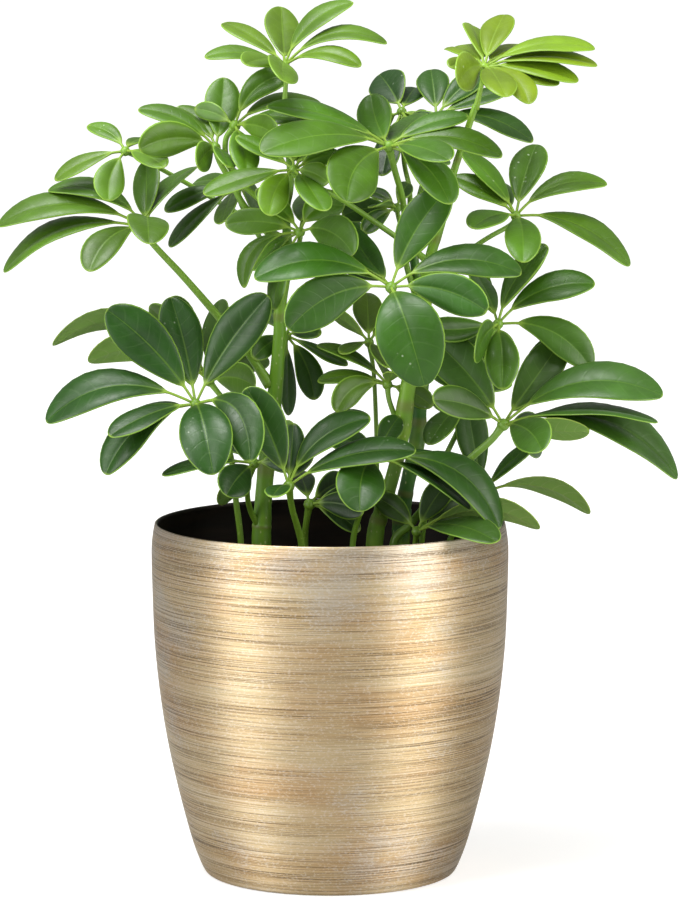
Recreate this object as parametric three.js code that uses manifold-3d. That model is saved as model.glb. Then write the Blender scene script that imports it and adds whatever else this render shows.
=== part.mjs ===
// A potted umbrella plant: a dwarf schefflera in a round brushed gold pot.
// Millimetres, +Z up, origin at the middle of the pot's base, and the front faces -Y.

import * as THREE from "three";
import { mergeVertices } from "three/addons/utils/BufferGeometryUtils.js";
import Module from "manifold-3d";

const wasm = await Module();
wasm.setup();

// Driving dimensions of the pot
const POT_WALL = 1.3;
const POT_SIDES = 36;
const POT_FLOOR = 2;
// Outside radius at each height, from the foot up to the rim
const POT_PROFILE = [
  [0, 53.6], [0.9, 55.4], [6.6, 58.1], [17, 61.6], [39, 67.3], [60, 71.7], [81.5, 74.9],
  [103, 76.9], [125, 77.7], [142, 78.0], [149.5, 77.4], [154, 76.6],
];
// Heights of the corners of the pot's inside
const POT_INSIDE = [6.6, 60, 125, 142, 154];

// Driving dimensions of the potting mix
const SOIL_TOP = 123;
const SOIL_SIDES = 18;
const STEM_DEPTH = 20;
const GAP = 0.3;

// Where the plant is looked at from: its places are measured on the upright plane through the
// pot's axis, and a piece nearer or farther than that plane lies on the same line of sight.
const EYE = new THREE.Vector3(4.15, -1810, 409.6);

// Driving dimensions of a leaflet
const LEAFLET_SLIM = 0.37;
const LEAFLET_THICK = 1.3;
const LEAFLET_FOLD = 0.1;
const LEAFLET_ARCH = 0.12;
// How far the middle line passes over its noted crest, and how far it runs past its noted tip
const CREST_LIFT = 0.8;
const TIP_PAST = 1.045;
// How much broader the many-sided blade is than the noted width of the round one
const BLADE_BROAD = 1.2;
const FOOTSTALK_WIDE = 1.2;
const FOOTSTALK_START = 1.4;
const HUB_SWELL = 1.3;
// Places of the rings along a leaflet and the share of the full width at each
const LEAFLET_RINGS = [
  [0, 0], [0.16, 0], [0.38, 0.82], [0.66, 1], [0.9, 0.66],
];
const SMALL_RINGS = [
  [0, 0], [0.16, 0], [0.48, 1], [0.86, 0.8],
];
const SMALL_LEAFLET = 9.6;
// How far a leaflet or a stalk is bent nearer or farther until it is clear of the others
const BENDS = [0];
for (let step = 3; step <= 42; step += 3) BENDS.push(step, -step);

// A trunk is a list of [x, z, nearness, diameter], from the potting mix up
const TRUNKS = {
  trunk_left: [
    [-30, 145, 2, 8.5], [-29.6, 155, 2, 8], [-29, 165, 2, 7.5], [-27, 188, 2, 7], [-25.6, 199, 2, 8],
    [-24, 210, 2, 6.5], [-22, 235, 2, 5.5], [-21.5, 250, 2, 5.5], [-20, 262, 2, 6], [-18.5, 275, 2, 4.2],
    [-19, 290, 2, 3.4], [-17, 303, 2, 3], [-18.5, 320, 2, 2.6], [-20, 334, 2, 3],
  ],
  trunk_front: [
    [19.5, 145, 15, 7.5], [23, 160, 15, 7], [27.5, 175, 15, 6], [30.6, 188, 15, 6], [31.6, 196, 15, 8],
    [34, 214, 15, 6.6], [38, 236, 14, 6.4], [41, 252, 13, 7.2], [43.5, 270, 12, 4.6], [48, 285, 11, 4.2],
    [53, 305, 9, 3.2], [57, 318, 8, 3], [63, 336, 6, 2.8],
  ],
  trunk_back: [
    [31, 145, -8, 8], [31.6, 159, -8, 8], [32.2, 162, -8, 7], [34, 172, -8, 6.4], [38, 190, -8, 7.2],
    [39, 205, -8, 6.4], [41, 226, -9, 6], [40, 246, -10, 5.4], [37, 266, -12, 4.2], [34, 284, -14, 3.4],
  ],
};
const TRUNK_TONES = { trunk_left: "#7d9a33", trunk_front: "#8fa83a", trunk_back: "#3f6a25" };

// The compound leaves. at: [x, z, nearness] of the point where the leaflets meet. on: what the stalk
// grows from. stalk: its way down from there as [x, z]. girth: diameter at its top and foot. A leaflet
// is [x, z of the tip, share of its reach that points nearer (+) or farther (-), seen width, and
// the x, z that its bowed middle line passes]. A width under 0 shows the underside.
const LEAVES = {
  leaf_crown_left: {
    at: [-19.5, 353, 2], on: "trunk_left", stalk: [[-19, 346], [-20, 332]], girth: [1.8, 2.2], reach: 44,
    tone: "#6aa02c",
    leaflets: [
      [-53, 356, 0.3, 5, -41, 358.5], [-36, 353, 0.8, 5.5], [-45.5, 370.5, -0.6, 6.5],
      [-21, 377.5, -1, 13, -20.5, 368], [9.5, 379, -0.5, 7.5, -3, 375], [23.5, 361.5, 0.2, 5.5, 6, 367],
      [12.3, 352, 0.5, 5.5, -1, 358.5], [-20, 346, 1, 11, -20, 353.5],
    ],
  },
  leaf_crown_right: {
    at: [66.5, 352, 5], on: "trunk_front", stalk: [[65.5, 345], [63, 334]], girth: [2, 2.2], reach: 46,
    tone: "#86b02e",
    leaflets: [
      [61.5, 369.5, -0.8, 8], [75, 374, -0.8, 11], [53, 360, -0.9, 8], [52, 352, 0.5, 4.5],
      [55.5, 345, 0.9, 5], [75.5, 339.5, 0.9, 10], [113, 359.5, -0.2, 6, 97, 362.5],
      [114, 352.5, 0.1, 5, 95, 357], [106, 346, 0.3, 6.5, 87, 352.5], [84, 361, -0.8, 5],
      [85, 336.5, 0.8, 8, 79, 348], [98, 345, 0.6, 6, 83, 350],
    ],
  },
  leaf_left_high: {
    at: [-49.5, 317.5, 5], on: "trunk_left", stalk: [[-48, 312], [-43.5, 304], [-36, 291], [-20.5, 274]],
    girth: [2.2, 3], reach: 42, tone: "#6ba22d",
    leaflets: [
      [-81.5, 316.5, 0.7, 13, -67, 322], [-80, 323, -0.2, 7, -64, 322], [-82, 333.3, -0.3, 7, -72, 332.5],
      [-66, 334.5, -0.6, 8, -59, 331.5], [-46, 347, -0.8, 13, -46.5, 336], [-57, 309, 0.8, 4],
      [-44, 309, 0.7, 8],
    ],
  },
  leaf_left_inner: {
    at: [-41, 327, 3], on: "trunk_left", stalk: [[-45, 321], [-44, 311], [-36, 300], [-19.5, 287]],
    girth: [2.4, 2.6], reach: 40, tone: "#669a2c",
    leaflets: [
      [-16, 348.5, -0.6, 10, -27.5, 346], [-5, 336.5, -0.5, 6, -22, 338], [-9, 328, 0.2, 6, -23, 331],
      [-23, 322, 0.7, 10], [-36, 306.5, 0.8, 10, -38.5, 321], [-58, 334, -0.8, 7],
    ],
  },
  leaf_far_left_high: {
    at: [-88.5, 316, 0], on: "trunk_left", stalk: [[-79, 311.5], [-59, 300.5], [-38, 288], [-21.5, 279]],
    girth: [1.8, 2.4], reach: 36, tone: "#6fa331",
    leaflets: [
      [-104.5, 326.5, -0.5, 6.5, -96, 324.5], [-118, 303.5, 0.3, 6, -104, 312.5],
      [-95.5, 295, 0.7, 11.5, -94, 307], [-77, 321, -0.6, 8, -83, 321], [-72, 309, 0.8, 7],
    ],
  },
  leaf_far_left: {
    at: [-80, 283, 5], on: "trunk_left",
    stalk: [[-77.6, 277], [-63.8, 262], [-50.8, 247], [-36.6, 230], [-26, 214]],
    girth: [2.4, 4], reach: 50, tone: "#5f962a",
    leaflets: [
      [-142, 283, 0.2, 9.5, -127, 291.5], [-139.5, 263.5, 0.5, 7.5, -126, 278],
      [-121, 298, -0.5, 8, -107, 301], [-103.5, 264, 0.8, 10.5, -94, 279.5],
      [-78.5, 275.5, 1, 15, -79, 287], [-79.5, 311.5, -0.7, 10, -79.5, 298],
      [-58.5, 308.5, -0.7, 6.5, -69.5, 302],
    ],
  },
  leaf_left_dark: {
    at: [-40, 300, -20], on: "trunk_left", stalk: [[-38, 292], [-30, 278], [-22, 264]], girth: [2, 2.4],
    reach: 42, tone: "#2f5a22",
    leaflets: [
      [-68.5, 275, 0.5, 6, -57, 288.5], [-70.5, 290, 0.2, 7, -56, 298], [-58.5, 302, -0.6, 6],
      [-46.5, 285, 0.9, 6], [-30, 290, -0.8, 8], [-46, 312, -1, 9],
    ],
  },
  leaf_bright_centre: {
    at: [-15.5, 308, 25], on: "trunk_front",
    stalk: [[-14, 304.5], [0, 298], [10, 292], [20, 285], [30, 278], [43, 268]], girth: [2, 2.6],
    reach: 42, tone: "#86ad30",
    leaflets: [
      [-53.5, 297.5, 0.3, 7.5, -35, 305], [-40, 322, -0.3, 6, -29, 317], [-18, 322, -1, 9],
      [-4, 318, -0.8, 6], [5, 314, -0.4, 7], [-1, 302.5, 0.4, 9], [-26, 288.5, 0.7, 11.5, -22, 302],
      [-3, 290.5, 0.7, 9, -10, 302],
    ],
  },
  leaf_centre_top: {
    at: [25.5, 318, 15], on: "trunk_back", stalk: [[28, 308], [32, 292], [33, 268], [39.5, 247]],
    girth: [2.8, 2.6], reach: 52, tone: "#5c8f2c",
    leaflets: [
      [-26, 334.5, -0.3, 7, -8, 333.5], [-28, 315, 0.4, 12, -8, 323], [-8, 328.5, -0.5, 5, 8, 325.5],
      [8, 294.5, 0.8, 20, 12.5, 310], [18, 340, -0.6, 13, 20, 330], [38, 332, -0.9, 8, 33, 327],
      [59, 330.5, -0.2, 7, 43, 328], [73, 313.3, 0.3, 8.5, 53, 322], [51, 293.5, 0.8, 11.5, 42, 309],
      [51, 312, 0.8, 8, 39, 318],
    ],
  },
  leaf_centre_left: {
    at: [-13, 281, 12], on: "trunk_left", stalk: [[-13.5, 276], [-19.5, 262]], girth: [2, 2.4], reach: 44,
    tone: "#6fa02e",
    leaflets: [
      [9.5, 271, 0.8, 15, 0, 281.5], [6, 291.5, -0.3, 12, -4, 292], [-44.5, 284, -0.2, 10, -28, 285.5],
      [-31.5, 299, -0.6, 8], [-36, 257, 0.3, 6.5, -34, 272], [-33, 265, -0.5, 5],
      [-23.5, 248, 0.2, 7, -20, 268], [-8, 300, -1, 9],
    ],
  },
  leaf_front_centre: {
    at: [26.5, 257, 35], on: "trunk_front", stalk: [[29, 249], [33, 239], [37, 230]], girth: [2.6, 2.6],
    reach: 56, tone: "#3f742a",
    leaflets: [
      [-31, 260, 0.2, 13, -8, 269], [-16.5, 238.5, 0.5, 17, 4, 255], [8, 284, -0.8, 10, 15, 272],
      [2, 271, -0.6, 11, 14, 267], [51, 299, -0.5, 15, 37, 281], [81.5, 262, -0.1, 12, 60, 269.5],
      [67, 246.5, 0.4, 14, 48, 256], [41, 214.5, 0.7, 24, 28, 254],
    ],
  },
  leaf_back_top: {
    at: [31, 333, -35], on: "trunk_back", stalk: [[32, 312], [34.5, 299], [34.5, 282]], girth: [2, 2.4],
    reach: 40, tone: "#27521f",
    leaflets: [
      [21.5, 348.5, -0.7, 15], [37, 343, -0.5, 12], [15, 322, -0.3, 9], [50, 322, 0.3, 9],
      [38, 316, 0.8, 9], [23, 306, 0.8, 10, 26, 320],
    ],
  },
  leaf_back_right_top: {
    at: [46, 331, -30], on: "trunk_back", stalk: [[44, 316], [39, 298], [34.5, 279]], girth: [2, 2.4],
    reach: 42, tone: "#356424",
    leaflets: [
      [43.5, 350.5, -0.7, 12.5], [66, 349, -0.5, 9], [86.5, 320, 0.2, 8, 70, 330],
      [77, 342, -0.3, 6, 64, 339], [33, 325, -0.6, 7],
    ],
  },
  leaf_right_high: {
    at: [80.5, 288, 0], on: "trunk_front", stalk: [[78, 284], [66, 277], [45, 262]], girth: [2, 2.2],
    reach: 50, tone: "#5b912b",
    leaflets: [
      [89, 318, -0.8, 13], [58.5, 315.5, -0.6, 7.5], [54, 304.5, -0.3, 8], [62, 282.5, 0.7, 7],
      [83.5, 268, 0.85, 13, 83, 284], [119, 301, -0.2, 8, 105, 303], [128.5, 266.5, 0.2, 9, 110, 283.5],
      [66, 304, -0.9, 8],
    ],
  },
  leaf_lower_left: {
    at: [-58.5, 206, 25], on: "soil", stalk: [[-52, 197], [-44, 186], [-41, 163], [-39, 145]],
    girth: [2.4, 2.8], reach: 56, tone: "#31641f",
    leaflets: [
      [-96, 246, -0.4, 17.5], [-69, 251.5, -0.6, 15], [-27.5, 252, -0.4, 16],
      [-121.5, 197.5, 0.1, 14, -107, 210.5], [-95, 192, 0.5, 8], [-96.5, 175.5, 0.5, 12, -81, 198],
      [-51, 175.3, 0.85, 19, -57, 203], [-36, 180.5, 0.7, 14.5, -43, 206],
    ],
  },
  leaf_behind_left: {
    at: [-52.5, 216, -5], on: "trunk_left", stalk: [[-47, 209], [-39, 200], [-29, 184]], girth: [2.2, 2.8],
    reach: 52, tone: "#7f9a55",
    leaflets: [
      [-118.5, 230, 0, -8, -103, 242], [-103.5, 223.5, 0.1, -11, -92, 230.5], [-78, 247.5, -0.5, -9],
      [-48, 250.5, -0.7, 9], [-28, 226, -0.8, 12], [-33, 213.5, 0.6, -12],
    ],
  },
  leaf_right_middle: {
    at: [73, 241, 8], on: "trunk_front", stalk: [[67, 234], [55, 227], [37, 220]], girth: [2.2, 2.6],
    reach: 46, tone: "#4d8228",
    leaflets: [
      [94, 274, -0.3, 9, 80.5, 260], [63, 263, -0.7, 7], [114, 257.5, -0.1, 11, 99, 258],
      [112, 221.5, 0.4, 13, 100, 236], [43, 239, 0.4, 9.5, 58, 239], [75, 213, 0.8, 12.5, 74, 234],
      [63, 226, 0.9, -7],
    ],
  },
  leaf_lower_right: {
    at: [75.5, 197, 18], on: "soil", stalk: [[70, 190], [60, 181], [45, 165], [35, 153], [28, 145]],
    girth: [3, 4.2], reach: 56, tone: "#38701f",
    leaflets: [
      [45.5, 207.5, 0.5, 11], [43, 235, -0.2, 17], [101, 234, -0.5, 14, 90, 219],
      [143, 208.5, -0.1, 14, 121, 216.5],
      [149, 173, 0.2, 13, 131, 194.5], [141, 197.5, -0.2, 3.5, 118, 203], [112, 194.5, 0.2, -8, 98, 195],
      [92, 185.5, 0.85, 14, 85, 195],
    ],
  },
  leaf_right_inner: {
    at: [61, 208, -8], on: "soil", stalk: [[56, 195], [50, 182], [43, 163], [40, 145]], girth: [2.2, 2.8],
    reach: 42, tone: "#4a7d2a",
    leaflets: [
      [64, 238, -0.6, 9], [56, 236, -0.6, 8], [44, 222, -0.4, 8], [78, 216, -0.6, 8], [43.5, 188.5, 0.8, 9],
    ],
  },
  leaf_right_low: {
    at: [67, 167, -5], on: "soil", stalk: [[62, 160], [52, 145]], girth: [2.2, 2.8], reach: 42,
    tone: "#2d5a1d",
    leaflets: [
      [60, 206, -0.2, 12, 62.5, 190], [89, 188, 0.2, 5.5], [112, 157.5, 0.2, -7, 95, 170],
      [50, 175, -0.8, 10], [48, 163, 0.5, 8],
    ],
  },
  leaf_rim_right: {
    at: [38, 150, 20], on: "soil", stalk: [[37, 143], [36, 136]], girth: [2.2, 2.6], reach: 40,
    tone: "#44762a",
    leaflets: [
      [72, 145, 1.9, 8, 54, 153], [90, 150.5, 0.3, -8, 77, 159], [68, 160, -0.6, 11],
      [20, 165, -0.8, 9], [52, 172, -0.9, 10],
    ],
  },
  leaf_low_centre: {
    at: [20, 182, 28], on: "soil", stalk: [[17, 172], [13, 158], [10, 145]], girth: [2.2, 2.8], reach: 46,
    tone: "#2f5f20",
    leaflets: [
      [72, 151.3, 0.5, 13, 59, 174], [56, 178.5, -0.3, 5], [13.5, 159, 0.8, 18, 15, 178],
      [60, 160, 0.4, 5, 44, 174], [2, 190, -0.7, 9], [30, 200, -0.9, 9],
    ],
  },
  leaf_low_front: {
    at: [-18, 170, 35], on: "soil", stalk: [[-16.5, 160], [-12.5, 144]], girth: [2.6, 3], reach: 50,
    tone: "#44792a",
    leaflets: [
      [36, 184.5, 0.1, 9.5, 10, 184], [17, 198.5, -0.3, 11, 0, 194], [-9, 187.5, -0.3, 8],
      [-36, 212, -0.3, -15], [-16, 197, -0.6, 9], [-25, 165, 0.5, 9],
    ],
  },
  leaf_low_left: {
    at: [-33, 180, 20], on: "trunk_left", stalk: [[-36, 170], [-35, 160], [-30, 150]], girth: [2.2, 2.6],
    reach: 40, tone: "#2b5a1e",
    leaflets: [
      [-45, 166, 0.6, 13], [-47, 162, -0.4, -6], [-72, 174.5, 0.2, 4], [-30, 196, -0.8, 9],
      [-50, 192, -0.6, 8], [-16, 178, 0.3, 7],
    ],
  },
  leaf_low_dark: {
    at: [-9, 162, 12], on: "soil", stalk: [[-10.5, 153], [-11, 145]], girth: [2.6, 3.2], reach: 38,
    tone: "#284f1c",
    leaflets: [
      [14, 158, 0.5, 10], [8, 172, -0.8, 10], [20, 165, -0.3, 9], [-14, 176, -0.8, 9],
      [12, 150, 0.6, 7, 4, 157],
    ],
  },
  leaf_inner_slim: {
    at: [17, 233, 0], on: "soil", stalk: [[19, 220], [20, 200], [20.5, 178], [20, 145]], girth: [1.8, 2.2],
    reach: 34, tone: "#5b7f3a",
    leaflets: [
      [0, 246, -0.3, -5], [16, 254, -0.5, 11], [30, 246, -0.5, 8], [25, 222, 0.8, 8], [5, 228, 0.5, 7],
    ],
  },
  leaf_inner_left: {
    at: [-19, 236, -8], on: "trunk_left", stalk: [[-20, 230], [-23, 219]], girth: [2, 2.4], reach: 34,
    tone: "#41742a",
    leaflets: [
      [-33, 226, 0.6, 8], [-4.5, 236, 0.5, 5], [7, 223.3, 0.3, 4.5, -6, 230],
      [-7.5, 208.5, 0.5, 10, -10, 222], [-18, 202, 0.3, 6], [-30, 250, -0.6, 9],
      [-10, 252, -0.8, 9],
    ],
  },
  leaf_inner_right: {
    at: [25, 214.5, 8], on: "trunk_front", stalk: [[26, 207], [31, 194]], girth: [2, 2.4], reach: 36,
    tone: "#5d8a35",
    leaflets: [
      [-4.5, 215.5, 0.2, 5, 9, 218.5], [3.5, 202.5, 0.4, -10, 9, 212], [-5, 231, -0.2, 4.5, 10, 227],
      [22, 223, -0.9, 7], [27, 220, -0.9, 6], [44, 205, 0.3, 8],
    ],
  },
  leaf_inner_top: {
    at: [29, 291.5, -5], on: "trunk_back", stalk: [[30, 286], [34, 274]], girth: [1.8, 2.2], reach: 28,
    tone: "#3a6a26",
    leaflets: [
      [6, 288, 0.2, 9], [18, 291.5, 0.8, 7], [14.5, 281, 0.6, 7], [34, 302, -0.8, 6], [16, 299, -0.6, 5],
    ],
  },
};

// The leaves stand out this much more than their nearness says, so that the plant is as deep as wide
const SPREAD = 1.35;
// The far side carries leaves like those of the near side, each straight behind its twin
const FAR_SHIFT = -30;
const FAR_TWINS = {
  leaf_far_centre: "leaf_front_centre",
  leaf_far_lower_left: "leaf_lower_left",
  leaf_far_right_middle: "leaf_right_middle",
  leaf_far_lower_right: "leaf_lower_right",
  leaf_far_top: "leaf_centre_top",
  leaf_far_low: "leaf_low_front",
};

const X_AXIS = new THREE.Vector3(1, 0, 0);
const Z_AXIS = new THREE.Vector3(0, 0, 1);

// The point on the line of sight through (x, 0, z) that lies this much nearer
function seen(x, z, nearness) {
  const share = 1 + nearness / EYE.y;
  return new THREE.Vector3(EYE.x + (x - EYE.x) * share, -nearness, EYE.z + (z - EYE.z) * share);
}

// A closed solid from corners and triangles, turned so that its faces point out
function closedSolid(corners, triangles) {
  const mesh = (order) => new wasm.Mesh({
    numProp: 3,
    vertProperties: new Float32Array(corners.flatMap((c) => [c.x, c.y, c.z])),
    triVerts: new Uint32Array(order),
  });
  const solid = new wasm.Manifold(mesh(triangles));
  if (solid.volume() > 0) return solid;
  const turned = [];
  for (let i = 0; i < triangles.length; i += 3) turned.push(triangles[i], triangles[i + 2], triangles[i + 1]);
  return new wasm.Manifold(mesh(turned));
}

// A solid from a row of rings with as many corners each, ending in a flat face or in one point.
// The quads are split alike on both faces of a thin blade.
function loft(rings, point) {
  const count = rings[0].length;
  const corners = rings.flat();
  const triangles = [];
  for (let r = 0; r + 1 < rings.length; r += 1) {
    for (let k = 0; k < count; k += 1) {
      const a = r * count + k;
      const b = r * count + (k + 1) % count;
      const c = a + count;
      const d = b + count;
      if (k % 2 === 0) triangles.push(a, b, d, a, d, c);
      else triangles.push(a, b, c, b, d, c);
    }
  }
  for (let k = 1; k + 1 < count; k += 1) triangles.push(0, k + 1, k);
  const last = (rings.length - 1) * count;
  if (point) {
    corners.push(point);
    for (let k = 0; k < count; k += 1) triangles.push(last + k, last + (k + 1) % count, corners.length - 1);
  } else {
    for (let k = 1; k + 1 < count; k += 1) triangles.push(last, last + k, last + k + 1);
  }
  return closedSolid(corners, triangles);
}

// A round bar along a row of points, with a radius at each
function bar(points, radii, sides) {
  const rings = [];
  let across = X_AXIS.clone();
  points.forEach((point, i) => {
    const before = points[Math.max(i - 1, 0)];
    const after = points[Math.min(i + 1, points.length - 1)];
    const along = after.clone().sub(before).normalize();
    across.addScaledVector(along, -across.dot(along)).normalize();
    const upright = along.clone().cross(across);
    const ring = [];
    for (let k = 0; k < sides; k += 1) {
      const turn = 2 * Math.PI * k / sides;
      ring.push(point.clone()
        .addScaledVector(across, radii[i] * Math.cos(turn))
        .addScaledVector(upright, radii[i] * Math.sin(turn)));
    }
    rings.push(ring);
    across = across.clone();
  });
  return loft(rings);
}

// A turned solid from [height, radius] pairs that start and end on the axis
function turned(profile, sides) {
  const lathe = new THREE.LatheGeometry(profile.map(([z, r]) => new THREE.Vector2(r, z)), sides);
  lathe.rotateX(Math.PI / 2);
  lathe.deleteAttribute("normal");
  lathe.deleteAttribute("uv");
  const merged = mergeVertices(lathe, 1e-4);
  const place = merged.getAttribute("position");
  const corners = [];
  for (let i = 0; i < place.count; i += 1) corners.push(new THREE.Vector3().fromBufferAttribute(place, i));
  const index = merged.getIndex().array;
  const triangles = [];
  for (let i = 0; i < index.length; i += 3) {
    const [a, b, c] = [index[i], index[i + 1], index[i + 2]];
    if (a !== b && b !== c && c !== a) triangles.push(a, b, c);
  }
  return closedSolid(corners, triangles);
}

function geometryOf(solid) {
  const mesh = solid.getMesh();
  const geometry = new THREE.BufferGeometry();
  geometry.setAttribute("position", new THREE.BufferAttribute(new Float32Array(mesh.vertProperties), 3));
  geometry.setIndex(new THREE.BufferAttribute(new Uint32Array(mesh.triVerts), 1));
  return geometry;
}

function largestOf(solid) {
  return solid.decompose().sort((a, b) => b.volume() - a.volume())[0];
}

// The pot: a thin turned cup with a small foot
function potSolid() {
  const levels = POT_PROFILE.filter(([z]) => POT_INSIDE.includes(z));
  const inside = levels.map(([z, r]) => [z, r - POT_WALL]).reverse();
  const floorRadius = 55.6 - POT_WALL;
  return turned([[0, 0], ...POT_PROFILE, ...inside, [POT_FLOOR, floorRadius], [POT_FLOOR, 0]], POT_SIDES);
}

// The potting mix fills the pot up to its top, with a low uneven mound
function soilSolid() {
  const side = POT_PROFILE.filter(([z]) => POT_INSIDE.includes(z) && z < SOIL_TOP - 2);
  const wall = side.map(([z, r]) => [z, r - POT_WALL - 2.2]);
  const edge = 77.6 - POT_WALL - 2.2;
  const top = [[SOIL_TOP - 2, edge], [SOIL_TOP, edge - 3], [SOIL_TOP + 0.8, 50], [SOIL_TOP - 0.4, 24]];
  return turned([[POT_FLOOR + GAP, 0], [POT_FLOOR + GAP, 50], ...wall, ...top, [SOIL_TOP, 0]], SOIL_SIDES);
}

// A trunk, with extra girth where a hole or a stalk's foot has to clear it
function trunkSolid(rows, extra) {
  const points = rows.map(([x, z, nearness]) => seen(x, z, nearness));
  const radii = rows.map((row) => row[3] / 2 + extra);
  const foot = points[0].clone().setZ(SOIL_TOP - STEM_DEPTH - extra);
  points.unshift(foot);
  radii.unshift(radii[0]);
  points[points.length - 1].z += extra;
  return bar(points, radii, 8);
}

function nearnessOn(rows, z) {
  const upper = rows.findIndex((row) => row[1] >= z);
  if (upper < 0) return rows[rows.length - 1][2];
  return rows[upper][2];
}

// The stalk of a leaf from its hub down, bowed nearer or farther by bend
function stalkSolid(leaf, bend, extra) {
  const [hubX, hubZ, hubNear] = leaf.at;
  const rooted = leaf.on === "soil";
  const footZ = leaf.stalk[leaf.stalk.length - 1][1];
  const footNear = rooted ? hubNear * (leaf.rootShare ?? 0.6) : nearnessOn(TRUNKS[leaf.on], footZ);
  const way = [[hubX, hubZ], ...leaf.stalk];
  const points = way.map(([x, z], i) => {
    const share = i / (way.length - 1);
    const eased = share * share * (3 - 2 * share);
    const nearness = hubNear + (footNear - hubNear) * eased + bend * Math.sin(Math.PI * share);
    return seen(x, z, nearness);
  });
  if (rooted) {
    const last = points[points.length - 1];
    points.push(last.clone().setZ(SOIL_TOP + 2), last.clone().setZ(SOIL_TOP - STEM_DEPTH - extra));
  }
  const [top, foot] = leaf.girth;
  const radii = points.map((_, i) => (top + (foot - top) * i / (points.length - 1)) / 2 + extra);
  return bar(points, radii, 4);
}

function hubSolid(leaf) {
  const ball = new THREE.SphereGeometry(leaf.girth[0] * 0.5 + HUB_SWELL, 5, 4);
  ball.deleteAttribute("normal");
  ball.deleteAttribute("uv");
  const merged = mergeVertices(ball, 1e-4);
  const hub = seen(...leaf.at);
  const place = merged.getAttribute("position");
  const corners = [];
  for (let i = 0; i < place.count; i += 1) {
    corners.push(new THREE.Vector3().fromBufferAttribute(place, i).add(hub));
  }
  const index = merged.getIndex().array;
  const triangles = [];
  for (let i = 0; i < index.length; i += 3) {
    const [a, b, c] = [index[i], index[i + 1], index[i + 2]];
    if (a !== b && b !== c && c !== a) triangles.push(a, b, c);
  }
  return closedSolid(corners, triangles);
}

// The middle line of a leaflet from the hub to its tip, bowed through its crest
function leafletLine(leaf, row, bend) {
  const [hubX, hubZ, hubNear] = leaf.at;
  const [x, z, turn, , crestX, crestZ] = row;
  const flat = Math.hypot(x - hubX, z - hubZ);
  const reach = Math.sqrt(Math.max(leaf.reach ** 2 - flat ** 2, 36));
  const tipNear = hubNear + turn * reach + bend;
  const hub = seen(hubX, hubZ, hubNear);
  const tip = seen(hubX + (x - hubX) * TIP_PAST, hubZ + (z - hubZ) * TIP_PAST, tipNear);
  let crest = hub.clone().lerp(tip, 0.5).addScaledVector(Z_AXIS, LEAFLET_ARCH * hub.distanceTo(tip));
  if (crestX !== undefined) {
    const farther = Math.hypot(crestX - hubX, crestZ - hubZ) / flat;
    const depth = Math.min(Math.max(farther, 0.45), 0.8);
    crest = seen(crestX, crestZ + CREST_LIFT, hubNear + (tipNear - hubNear) * depth);
  }
  // The curve passes its crest as far along as the crest lies between the hub and the tip
  const passed = hub.distanceTo(crest) / (hub.distanceTo(crest) + crest.distanceTo(tip));
  const rest = 1 - passed;
  const pull = crest.addScaledVector(hub, -rest * rest).addScaledVector(tip, -passed * passed);
  pull.multiplyScalar(1 / (2 * passed * rest));
  return new THREE.QuadraticBezierCurve3(hub, pull, tip);
}

// The direction across a leaflet: turned about its length until its seen width is right
function leafletAcross(leaf, row, line, fullWidth) {
  const [hubX, hubZ] = leaf.at;
  const [x, z, , width] = row;
  const sight = line.v2.clone().sub(EYE).normalize();
  const along = line.v2.clone().sub(line.v0).normalize();
  const pointsAtUs = Math.hypot(x - hubX, z - hubZ) < 14;
  const raised = pointsAtUs ? X_AXIS.clone() : along.clone().cross(sight).normalize();
  if (raised.z < -0.001) raised.negate();
  const farther = along.clone().cross(raised).normalize();
  if (farther.y < 0) farther.negate();
  const turn = Math.acos(Math.min(1, Math.abs(width) * BLADE_BROAD / fullWidth));
  return raised.multiplyScalar(Math.cos(turn)).addScaledVector(farther, Math.sign(width) * Math.sin(turn));
}

// A leaflet's side and face directions at a place along it; the face is the blade's upper one
function leafletFrame(line, across, share, facing) {
  const along = line.getTangent(share);
  const side = across.clone().addScaledVector(along, -across.dot(along)).normalize();
  return { side, face: side.clone().cross(along).multiplyScalar(facing) };
}

// One leaflet: a slim foot stalk that widens to a thin blade with a blunt tip
function leafletSolid(leaf, row, bend, extra, bladeOnly = false) {
  const line = leafletLine(leaf, row, bend);
  const length = line.v0.distanceTo(line.v2);
  const fullWidth = Math.max(Math.abs(row[3]) * BLADE_BROAD, length * LEAFLET_SLIM);
  const across = leafletAcross(leaf, row, line, fullWidth);
  const upper = leafletFrame(line, across, 0.5, 1).face;
  const facing = upper.z - 0.4 * upper.y < 0 ? -1 : 1;
  const start = FOOTSTALK_START / (2 * line.v0.distanceTo(line.v1));
  const places = Math.abs(row[3]) < SMALL_LEAFLET ? SMALL_RINGS : LEAFLET_RINGS;
  const rings = (bladeOnly ? places.slice(1) : places).map(([spot, wide]) => {
    const share = Math.max(spot, start);
    const middle = line.getPoint(share);
    const { side, face } = leafletFrame(line, across, share, facing);
    const half = Math.max(fullWidth * wide, FOOTSTALK_WIDE) / 2 + extra;
    const thick = (wide ? LEAFLET_THICK : FOOTSTALK_WIDE) / 2 + extra;
    const sunk = wide * fullWidth / 2 * LEAFLET_FOLD;
    return [
      middle.clone().addScaledVector(side, half),
      middle.clone().addScaledVector(face, thick - sunk),
      middle.clone().addScaledVector(side, -half),
      middle.clone().addScaledVector(face, -thick - sunk),
    ];
  });
  return loft(rings, line.getPoint(1));
}

// What is placed so far, to keep the next piece clear of it
const placed = [];

function place(owner, solid) {
  placed.push({ owner, solid, box: solid.boundingBox() });
}

function boxesMeet(a, b) {
  return [0, 1, 2].every((k) => a.min[k] < b.max[k] && b.min[k] < a.max[k]);
}

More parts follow.
